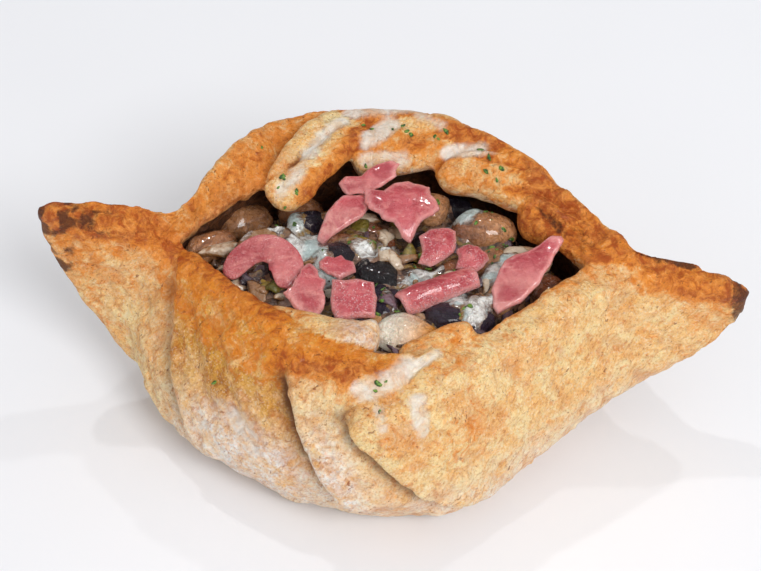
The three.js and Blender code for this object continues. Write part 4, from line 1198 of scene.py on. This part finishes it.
# Each flake's outline is drawn flat as it lies, then bent and turned (yaw, pitch, roll in degrees).
ONIONS = dict(
    onion_petal_large=dict(
        at=(1.5, 19.0, 53.4), turn=(0, 6, 20), thick=1.7, curl=2.2, bow=1.6, cells=0.1, ragged=1.0,
        outline=[(-2.7, 6.6), (0.9, 8), (6.4, 7), (7.1, 4.7), (8.9, 1), (6.4, -2.3), (4.4, -4.7),
                 (3, -8.6), (0.7, -8), (-0.7, -5.9), (-1.8, -4.7), (-4.6, -4.3), (-5.8, -2.7),
                 (-9.1, 0.2), (-9.9, 4.3), (-5.3, 3.9)]),
    onion_strip_back=dict(
        at=(-12.2, 17.4, 51.5), turn=(0, 4, 26), thick=1.6, curl=1.6, bow=1.0, cells=0.1,
        pale=1.0, ragged=1.3,
        outline=[(-1, 5.2), (4.5, 6.5), (6, 2.8), (4.2, 0.3), (1.6, -2.1), (-1.6, -4.5), (-4.5, -7.3),
                 (-6, -6.1), (-5.2, -2.8), (-4.1, 0.7), (-2.9, 3.3)]),
    onion_tip_back=dict(
        at=(-7.2, 25.2, 56.4), turn=(0, -6, 34), thick=1.4, curl=1.4, bow=1.2, cells=0.0,
        pale=0.4, ragged=1.3,
        outline=[(-6.6, -0.5), (-5.2, 1), (-1.3, 1), (0, 2.7), (2.6, 4.4), (5.9, 5), (8, 4.5), (7, 1),
                 (5.9, 0), (3.2, -1.7), (-1, -3.4), (-4.5, -3.4), (-6.2, -2)]),
    onion_square_middle=dict(
        at=(10.6, 9.3, 50.9), turn=(0, 8, 20), thick=1.8, curl=1.2, bow=0.8, cells=0.8,
        outline=[(-4.6, 1.6), (-2.5, 3.9), (0.7, 5.1), (2.5, 5.5), (4.1, 4.9), (4.4, 2), (4.1, -1.2),
                 (2.1, -3.5), (-1.1, -5.5), (-4.1, -4.9), (-3.5, -2.3)]),
    onion_curl=dict(
        at=(19.2, 5.6, 50.6), turn=(0, 0, 18), thick=1.8, curl=1.0, bow=1.5, cells=0.7,
        outline=[(-3.9, 2.9), (-1.1, 3.8), (1.4, 2.9), (3.5, 1.6), (4, 0.4), (2.8, -1.6), (1.1, -3.5),
                 (-2.1, -3.5), (-4.1, -2.5), (-3.2, 0), (-4, 2)]),
    onion_strip_front=dict(
        at=(11.6, -4.6, 50.2), turn=(26, -4, 16), thick=2.0, curl=2.4, bow=1.2, cells=1.0,
        outline=[(-10, 2.4), (-9.4, 3.2), (-4, 3.4), (2, 3.3), (7, 3.0), (9.6, 2.0), (10.2, 0.6),
                 (9.6, -2.6), (4, -3.2), (-2, -3.4), (-7, -3.6), (-9, -3.0), (-9.8, -0.5)]),
    onion_petal_right=dict(
        at=(31.2, 0.2, 51.2), turn=(0, -4, 24), thick=1.8, curl=1.6, bow=1.2, cells=0.0, pale=0.45,
        outline=[(9.2, 10.8), (9.8, 9.8), (8.3, 6.4), (6.4, 2.3), (3.9, -2.6), (-0.4, -6.8),
                 (-5.7, -9.5), (-7, -8.1), (-7.2, -3.8), (-5.7, 0.4), (-4.4, 3.4), (-1.8, 5), (1.4, 6),
                 (4.1, 7.9), (6.6, 10.6)]),
    onion_piece_left=dict(
        at=(-19.2, -7.4, 49.6), turn=(0, 6, 16), thick=1.8, curl=1.8, bow=0.8, cells=0.2,
        pale=0.5, ragged=1.3,
        outline=[(-0.3, 8.2), (1.9, 6.7), (2.6, 4.3), (3.9, 3.7), (3.7, 0.7), (4.5, -0.7), (4.4, -3.7),
                 (2.9, -6.4), (1.6, -7.5), (-1, -5.6), (-3.2, -3.7), (-5.8, -1.1), (-3.9, 0.7),
                 (-2.6, 3.7), (-2.3, 6.4)]),
    onion_piece_small=dict(
        at=(-12.8, 1.3, 50.0), turn=(0, 4, 12), thick=1.6, curl=0.9, bow=0.7, cells=0.2,
        outline=[(-4.4, 0.8), (-3.1, 2.6), (-0.8, 2.2), (0.6, 3.4), (1.8, 2), (3.7, 1.6), (4.4, -0.8),
                 (2.4, -2.4), (0.8, -3.6), (-2.1, -2.2), (-4.1, -0.8)]),
    onion_square_front=dict(
        at=(-8.0, -9.2, 50.0), turn=(0, 3, 20), thick=2.2, curl=0.9, bow=0.9, cells=0.9,
        outline=[(-5.4, 4.7), (-2.4, 4.7), (0.5, 5.4), (4.4, 5.2), (5.4, 1.1), (5.3, -3.9), (1.1, -4.6),
                 (-3.7, -5.6), (-5, -2.5), (-5.6, 1.8)]),
)
ONION_RIBBON = dict(
    path=[(-39, -0.5, 46.5), (-36, 3, 49.5), (-31.5, 4.5, 52), (-27, 2.8, 52.6), (-24.6, -0.8, 51),
          (-25.2, -4.8, 48.3)],
    width=[5.5, 6.2, 6.6, 7.2, 8.4, 6], thick=[1.3, 1.4, 1.4, 1.4, 1.4, 1.2],
    across=[(0.2, -0.8, -0.6), (0.2, -0.8, -0.6), (0.1, -0.8, -0.6), (-0.5, -0.7, -0.5), (-0.95, -0.3, -0.1),
            (-1, -0.1, 0)])


def onion_paint():
    p = Paint("pickled_onion")
    patch = p.noise(6, 3, 0.55, 0.5)
    streak = p.noise(2.0, 4, 0.6, 0.6, stretch=(3, 1, 1), turn=20)
    thread = p.noise(0.9, 4, 0.6, 0.8, stretch=(4, 1, 1), turn=20)
    flesh = p.tint(patch, 0.38, 0.64, (172, 50, 62), (196, 80, 88))
    flesh = p.flecked(flesh, (streak, 0.48, 0.68, 0.6, (222, 138, 134)))
    flesh = p.over(flesh, p.mask("pale"), (226, 168, 156), p.ramp(patch, 0.3, 0.6))
    # painted highlight along each flake's rim
    flesh = p.over(flesh, p.mask("edge"), (236, 164, 160), 0.75)
    # The onion's own cells, painted as light dots that are partly its cell texture and partly painted glints.
    dots = p.calc("MULTIPLY", p.ramp(p.cells(0.6), 0.5, 0.22), p.mask("cells"))
    speckle = p.calc("MULTIPLY", dots, p.ramp(p.noise(4, 2), 0.36, 0.5))
    flesh = p.over(flesh, speckle, (250, 190, 194), 0.6)
    # painted highlights: thin near-white streaks
    flesh = p.flecked(flesh, (thread, 0.66, 0.74, 0.6, (250, 214, 210)))
    relief = p.bump(p.total((p.noise(1.8, 5, 0.65, 0.5), 1.2), (speckle, 0.4)), 0.8)
    return p.finish(Base_Color=flesh, Roughness=p.blend(p.noise(1.2, 2), 0.1, 0.32), Normal=relief,
                    Specular_IOR_Level=0.65, Coat_Weight=0.6, Coat_Roughness=0.1, inside=(0.5, 3.0, 1.3, 1.1))


def make_onions():
    paint = onion_paint()
    for number, (node, flake) in enumerate(ONIONS.items()):
        verts, faces, share = plate_shell(
            flake["outline"], flake["thick"], flake["curl"], flake["bow"], 40 + number,
            ragged=flake.get("ragged", 0.6), edge=1.0, rings=20, around=220)
        # the long strip shows its cells on its front half only
        shown = smooth(0.5 - verts[:, 1] / 2) if node == "onion_strip_front" else np.ones(len(verts))
        # edge marks each flake's rim, where the paint lays a painted highlight
        add_piece(node + "_flake", [(turned(verts, flake["turn"], flake["at"]), faces)], paint, node,
                  dict(edge=smooth((share - 0.72) / 0.28), cells=flake["cells"] * shown,
                       pale=flake.get("pale", 0.0) * smooth(0.5 - verts[:, 1] / 8)))
    shell = loft(tongue_loops(**ONION_RIBBON, steps=70, around=28)[0])
    even = np.ones(len(shell[0]))
    add_piece("onion_curl_left_flake", [shell], paint, "onion_curl_left",
              dict(edge=0 * even, cells=0.3 * even, pale=0.2 * even))


# ---------------------------------------------------------------- stage

CAMERA = dict(azimuth=4.0, elevation=45.0, target=(-2.8, 6.0, 40.0), distance=512.0, lens=100.0, sensor=36.0)
# The key lamp lights the pastry, and the two small ones shine in wet things: place, watts and size in metres.
LAMPS = dict(key=((500, -760, 900), 8.3, 0.45), glint_left=((-250, 300, 900), 0.9, 0.03),
             glint_right=((300, 350, 800), 0.6, 0.03))
LAMPS_AIM = (0, 0, 30)
# The room's light from the front round to the back, which is darker, so wet things mirror a dark wall.
ROOM = {"From Min": -0.1, "From Max": 0.75, "To Min": 0.75, "To Max": 0.24}
FLOOR_HALF = 1500


def make_camera():
    a, e = math.radians(CAMERA["azimuth"]), math.radians(CAMERA["elevation"])
    back = Vector((math.sin(a) * math.cos(e), -math.cos(a) * math.cos(e), math.sin(e)))
    data = bpy.data.cameras.new("camera")
    data.lens, data.sensor_width, data.clip_start = CAMERA["lens"], CAMERA["sensor"], 0.01
    camera = bpy.data.objects.new("camera", data)
    bpy.context.scene.collection.objects.link(camera)
    camera.location = (Vector(CAMERA["target"]) + back * CAMERA["distance"]) * MM
    camera.rotation_mode = "QUATERNION"
    camera.rotation_quaternion = (-back).to_track_quat("-Z", "Y")
    bpy.context.scene.camera = camera


def make_lamp(name, place, energy, size):
    data = bpy.data.lights.new(name, "AREA")
    data.energy, data.size = energy, size
    lamp = bpy.data.objects.new(name, data)
    bpy.context.scene.collection.objects.link(lamp)
    lamp.location = Vector(place) * MM
    lamp.rotation_euler = (Vector(LAMPS_AIM) * MM - lamp.location).to_track_quat("-Z", "Y").to_euler()


def make_world():
    world = bpy.data.worlds.new("studio")
    bpy.context.scene.world = world
    world.use_nodes = True
    nodes, links = world.node_tree.nodes, world.node_tree.links
    nodes["Background"].inputs["Color"].default_value = (1, 1, 1, 1)
    way = nodes.new("ShaderNodeTexCoord")
    part = nodes.new("ShaderNodeSeparateXYZ")
    shade = nodes.new("ShaderNodeMapRange")
    shade.interpolation_type = "SMOOTHSTEP"
    for socket, value in ROOM.items():
        shade.inputs[socket].default_value = value
    links.new(way.outputs["Generated"], part.inputs["Vector"])
    links.new(part.outputs["Y"], shade.inputs["Value"])
    links.new(shade.outputs["Result"], nodes["Background"].inputs["Strength"])


def make_stage():
    bpy.context.scene.view_settings.view_transform = "Standard"
    make_world()
    for name, lamp in LAMPS.items():
        make_lamp(name, *lamp)
    paint = Paint("studio_floor")
    tone = paint.mix(paint.noise(60, 2), colour(235, 236, 240), colour(238, 239, 243))
    half = FLOOR_HALF
    mesh = make_mesh("floor", [(-half, -half, 0), (half, -half, 0), (half, half, 0), (-half, half, 0)],
                     [(0, 1, 2, 3)])
    floor = make_object("floor", mesh, paint.finish(Base_Color=tone, Roughness=0.9, Specular_IOR_Level=0.1))


# ---------------------------------------------------------------- all of it

make_camera()
make_stage()
crust = make_crust()
filling = make_filling()
make_onions()
make_herbs([tree_of(thing) for thing in [crust] + filling])
